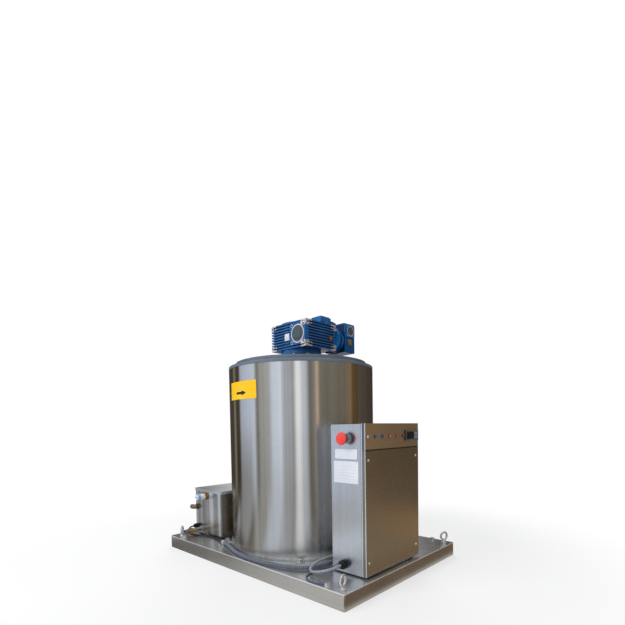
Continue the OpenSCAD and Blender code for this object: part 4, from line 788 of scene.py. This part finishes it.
def turned(name, profile, place=(0, 0, 0), turn=(0, 0, 0), sides=48):
    """A turned piece: rings of [radius, height] in millimetres, from its seat outwards."""
    start_piece()
    (radius, height), *rest = profile
    bpy.ops.mesh.primitive_circle_add(vertices=sides, radius=radius * MM, fill_type="NGON",
                                      location=(0, 0, height * MM))
    piece = bpy.context.object
    piece.name = name
    bpy.ops.object.transform_apply(location=True, rotation=True, scale=True)
    bpy.ops.object.mode_set(mode="EDIT")
    bpy.ops.mesh.select_mode(type="FACE")
    bpy.ops.mesh.select_all(action="SELECT")
    for wide, high in rest:
        bpy.ops.mesh.extrude_region_move(TRANSFORM_OT_translate={"value": (0, 0, (high - height) * MM)})
        bpy.ops.transform.resize(value=(wide / radius, wide / radius, 1), center_override=(0, 0, high * MM))
        radius, height = wide, high
    bpy.ops.mesh.select_all(action="SELECT")
    bpy.ops.mesh.normals_make_consistent(inside=False)
    bpy.ops.object.mode_set(mode="OBJECT")
    piece.rotation_euler = turn
    piece.location = Vector(place) * MM
    bpy.ops.object.transform_apply(location=True, rotation=True, scale=True)
    return piece


def joined(name, pieces):
    """One piece out of several."""
    start_piece()
    for piece in pieces:
        piece.select_set(True)
    bpy.context.view_layer.objects.active = pieces[0]
    bpy.ops.object.join()
    pieces[0].name = name
    return pieces[0]


def spread(name, piece, spots):
    """Copies of a piece made at the origin, joined: each has its place in millimetres and its turn."""
    copies = []
    for place, turn in spots:
        start_piece()
        piece.select_set(True)
        bpy.context.view_layer.objects.active = piece
        bpy.ops.object.duplicate(linked=False)
        copy = bpy.context.object
        copy.rotation_euler = turn
        copy.location = Vector(place) * MM
        bpy.ops.object.transform_apply(location=True, rotation=True, scale=True)
        copies.append(copy)
    bpy.data.objects.remove(piece)
    return joined(name, copies)


def eye_bolt():
    """A lifting eye: collar, neck and ring above the tray, shank and nut under it."""
    collar = turned("collar", [(9.8, 0), (10.8, 0.8), (10.8, 3.2), (10, 4.05), (8.1, 4.1), (7.2, 8),
                               (6, 13), (4, 14.5)])
    shank = turned("shank", [(3.6, -10.4), (4, -10), (4, 0.2)], sides=32)
    nut = turned("nut", [(6.4, -5.4), (7.3, -4.8), (7.3, -2.9), (6.8, -2.4)], sides=6)
    start_piece()
    bpy.ops.mesh.primitive_torus_add(
        major_radius=15 * MM, minor_radius=4 * MM, major_segments=64, minor_segments=20,
        rotation=(0, math.pi / 2, 0), location=(0, 0, 26 * MM))
    ring = bpy.context.object
    bpy.ops.object.transform_apply(location=True, rotation=True, scale=True)
    return joined("eye_bolt", [collar, shank, nut, ring])


def lifting_eyes():
    """Four eye bolts on the tray, each with its place and the way it faces in degrees."""
    eyes = ((472, -312, 12), (472, 312, -20), (-452, -312, 50), (-452, 312, 30))
    spots = [((x, y, TRAY_TOP / MM), (0, 0, math.radians(facing))) for x, y, facing in eyes]
    piece = spread("lifting_eyes", eye_bolt(), spots)
    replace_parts(done(piece, ZINC), "eye_bolts")


def stop_head():
    """The emergency stop's mushroom head: a waisted rim under a shallow dome."""
    rings = [(14.4, 0), (15.2, 0.3), (19.6, 3.6), (20, 4.4), (20, 6.8), (19.7, 8.2), (18.8, 9.6),
             (17.3, 10.6), (15, 11.2), (10, 11.7), (5, 11.95), (1, 12)]
    piece = turned("stop_head", rings, (405, -226.45, 480), (math.pi / 2, 0, 0), 96)
    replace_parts(done(piece, RED_PLASTIC, "estop_button"), "estop_head")


def signal_lamps():
    """Five lenses in turned bezels along the fascia."""
    spots = [((480, y, 485), (0, math.pi / 2, 0)) for y in (-160, -120, -80, -40, 0)]
    lens = [(4.5, -14), (4.5, 2), (4.4, 3.2), (4, 4.2), (3.1, 4.8), (1.6, 5), (0.3, 5.05)]
    bezel = [(6, 0.05), (6, 1.2), (5.6, 1.7), (4.9, 1.9), (4.55, 1.5), (4.55, 0.4)]
    lenses = spread("lamp_lenses", turned("lens", lens), spots)
    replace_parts(done(lenses, LAMPS), "pilot_lamps")
    done(spread("lamp_bezels", turned("bezel", bezel), spots), BLACK_PLASTIC)


def controller_face():
    """A raised frame round a dark window, with four keys."""
    frame_piece = block("controller_frame", (484, 12.5, 466.5), (486, 91.5, 503.5))
    pick(frame_piece, lambda face: face.normal.x > 0.9)
    bpy.ops.mesh.inset(thickness=3.2 * MM)
    bpy.ops.mesh.extrude_region_move(TRANSFORM_OT_translate={"value": (-1.4 * MM, 0, 0)})
    apply(frame_piece, "BEVEL", width=0.5 * MM, segments=2, limit_method="ANGLE")
    done(frame_piece, FRAME_GREY)
    flat_plate("controller_window", (484.7, 17, 473), (485.5, 63, 497), 1.5, WINDOW)
    key = rounded_plate("key", (0, 0, 0), (1.2, 8.5, 9.5), 1.2)
    spots = [((484.7, y, z), (0, 0, 0)) for y in (67, 77.5) for z in (474, 486.5)]
    done(spread("controller_keys", key, spots), KEYS)


def drum_hem():
    """A folded hem round the drum's foot."""
    piece = drum_band("drum_hem", DRUM_RADIUS + 0.1, 53.2, 58, 256)
    apply(piece, "SOLIDIFY", thickness=2.2 * MM, offset=1.0, use_rim=True)
    apply(piece, "BEVEL", width=1.08 * MM, segments=4, limit_method="ANGLE")
    done(piece, HEM_STEEL, angle=60)


def flange_screws():
    """Socket screws in the corners of both bearing flanges."""
    main_face, main_reach, first_face, first_reach = -91, 32.76, 125, 20.28
    head = [(3.5, -2), (3.5, 2.2), (3.1, 2.8), (1.9, 2.8), (1.8, 1.2), (0.3, 1.1)]
    small = [(r * 0.62, h * 0.7) for r, h in head]
    corners = [(a, b) for a in (-1, 1) for b in (-1, 1)]
    main_spots = [((MAIN_WORM_X + a * main_reach, main_face, MAIN_WORM_Z + b * main_reach),
                   (math.pi / 2, 0, 0)) for a, b in corners]
    first_spots = [((first_face, FIRST_WORM_Y + a * first_reach, FIRST_WORM_Z + b * first_reach),
                    (0, math.pi / 2, 0)) for a, b in corners]
    main = spread("main_screws", turned("screw", head, sides=24), main_spots)
    first = spread("first_screws", turned("screw", small, sides=24), first_spots)
    done(joined("flange_screws", [main, first]), DULL_STEEL)


def conduit_ferrule():
    """The turned sleeve where the pump's cable enters its conduit."""
    sleeve = [(3.2, -3), (6, -2.6), (8.4, -2), (8.8, -1.2), (8.8, 6), (8.2, 6.6), (8.2, 9.4), (8.8, 10),
              (8.8, 19), (8.2, 20), (7.1, 20.2)]
    piece = turned("conduit_ferrule", sleeve, (-205, -268, 57.5), (0, math.pi / 2, math.atan2(-6, 30)))
    done(piece, ZINC)


def soften(names, width):
    """Rounds the sharp edges of CAD nodes as they are shown."""
    for name in names.split():
        weld = NODES[name].modifiers.new("weld", "WELD")
        weld.merge_threshold = 0.02 * MM
        edges = NODES[name].modifiers.new("edges", "BEVEL")
        edges.width = width * MM
        edges.segments = 3
        edges.limit_method = "ANGLE"
        edges.angle_limit = math.radians(50)
        edges.harden_normals = True


jacket_sheet()
drum_hem()
sign_plate()
lifting_eyes()
stop_head()
signal_lamps()
controller_face()
flange_screws()
conduit_ferrule()
flat_plate("gearbox_plate_main", (-8, -87.0, 862), (19, -86.1, 889), 1.5, PLATE)
flat_plate("gearbox_plate_small", (120.1, 154, 862), (121.0, 178, 887), 1.5, TAN_PLATE)
flat_plate("blank_plate_upper", (360, -211.0, 416), (449, -210.3, 447), 2, PLATE)
flat_plate("blank_plate_lower", (354, -211.0, 340), (453, -210.3, 409), 2, PLATE)
soften("base_tray", 2.0)
soften("lid_ring lid_cover terminal_box terminal_lid", 1.5)


# Studio

def room_tones(x, y):
    """What bright metal sees round it, by direction: pale windows in front and warm walls to the right."""
    tones = [(-180, (64, 56, 48)), (-171, (150, 140, 122)), (-168, (72, 64, 54)), (-157, (76, 68, 58)),
             (-153, (188, 194, 204)), (-132, (202, 212, 230)), (-122, (214, 219, 228)),
             (-118, (128, 125, 118)), (-114, (128, 125, 118)), (-111, (178, 177, 172)),
             (-95, (176, 175, 172)), (-91, (222, 230, 240)), (-76, (222, 230, 240)),
             (-72, (186, 189, 194)), (-61, (182, 184, 188)), (-57, (146, 146, 146)),
             (-53, (255, 255, 255)), (-47, (255, 255, 255)), (-44, (208, 213, 220)),
             (-38, (206, 211, 218)), (-33, (104, 100, 92)), (-24, (150, 144, 134)),
             (-21, (225, 195, 162)), (-17, (122, 116, 104)), (26, (118, 108, 92)), (36, (138, 114, 84)),
             (49, (136, 112, 82)), (53, (88, 78, 66)), (118, (56, 50, 42)), (128, (234, 235, 237)),
             (145, (234, 235, 237)), (150, (74, 66, 58))]
    around = y.math("ARCTAN2", x) / (2 * math.pi) + 0.5
    return around.ramp([((degrees + 180) / 360, linear(*tone)) for degrees, tone in tones])


def light_ways(tree):
    """Masks for light seen by the camera, mirrored in bright metal and passed through glass."""
    ways = tree.nodes.new("ShaderNodeLightPath")
    kinds = ("Is Camera Ray", "Is Glossy Ray", "Is Transmission Ray")
    return [Sock(tree, ways.outputs[kind]) for kind in kinds]


def stand_floor():
    """A white floor that keeps the machine's shadow. Bright metal sees the room's tones in it."""
    start_piece()
    bpy.ops.mesh.primitive_circle_add(vertices=96, radius=1.5, fill_type="NGON")
    floor = bpy.context.object
    floor.name = "floor"
    material, shader, at = finish_named("floor_paper")
    tree = material.node_tree
    feed(shader, Base_Color=(0.88, 0.88, 0.88, 1), Roughness=0.9)
    output = next(n for n in tree.nodes if n.type == "OUTPUT_MATERIAL")
    _, mirrored, through = light_ways(tree)
    x, y, z = at.parts()
    far = distance(x, y).soft(0.8, 1.45) * 0.4 + 0.6
    beside = (abs(x) - TRAY_HALF_LENGTH).most(abs(y) - TRAY_HALF_WIDTH)
    close = x.soft(-TRAY_HALF_LENGTH, 0.4).tint(linear(98, 93, 85), linear(218, 218, 217))
    close = x.soft(TRAY_HALF_LENGTH, 0.53).tint(close, linear(114, 93, 66))
    glow = mirrored.tint(WHITE, beside.soft(0.07, 0.2).tint(close, room_tones(x, y)))
    bright = at.node("Emission", {}, {"Color": glow, "Strength": 1.0})
    share = far.most(mirrored).most(through)
    mixed = at.node("MixShader", {}, {0: share, 1: Sock(tree, shader.outputs[0]), 2: bright})
    tree.links.new(mixed.socket, output.inputs[0])
    floor.data.materials.append(material)


def light_room():
    """Even light for matt surfaces. The camera and glass see white, and bright metal the room's tones."""
    world = bpy.data.worlds.new("studio")
    bpy.context.scene.world = world
    world.use_nodes = True
    tree = world.node_tree
    backdrop = next(n for n in tree.nodes if n.type == "BACKGROUND")
    camera, mirrored, through = light_ways(tree)
    seen = camera.most(through)
    x, y, z = Sock(tree, tree.nodes.new("ShaderNodeTexCoord").outputs["Generated"]).parts()
    room = z.soft(0.4, 0.95).tint(room_tones(x, y), linear(240, 241, 243))
    colour = seen.tint(mirrored.tint(linear(235, 238, 242), room), WHITE)
    strength = seen * 0.45 + mirrored * 0.45 + 0.55
    tree.links.new(colour.socket, backdrop.inputs["Color"])
    tree.links.new(strength.least(1.0).socket, backdrop.inputs["Strength"])


def hang_lamp(place, target, size, watts, colour=(1, 1, 1)):
    """A soft lamp aimed at a place, not mirrored in bright metal."""
    start_piece()
    bpy.ops.object.light_add(type="AREA", location=place)
    lamp = bpy.context.object
    lamp.rotation_euler = (Vector(target) - Vector(place)).to_track_quat("-Z", "Y").to_euler()
    lamp.data.shape = "RECTANGLE"
    lamp.data.size, lamp.data.size_y = size
    lamp.data.energy = watts
    lamp.data.color = colour
    lamp.visible_glossy = False


stand_floor()
light_room()
hang_lamp((-0.6, -3.2, 2.6), (0, 0, 0.4), (2.4, 2.0), 90)
hang_lamp((2.6, -1.6, 2.2), (0, 0, 0.5), (1.6, 1.6), 14, (1.0, 0.97, 0.93))
hang_lamp((-1.4, 2.0, 2.8), (0, 0, 0.6), (2.0, 2.0), 45)

bpy.context.scene.view_settings.view_transform = "Standard"
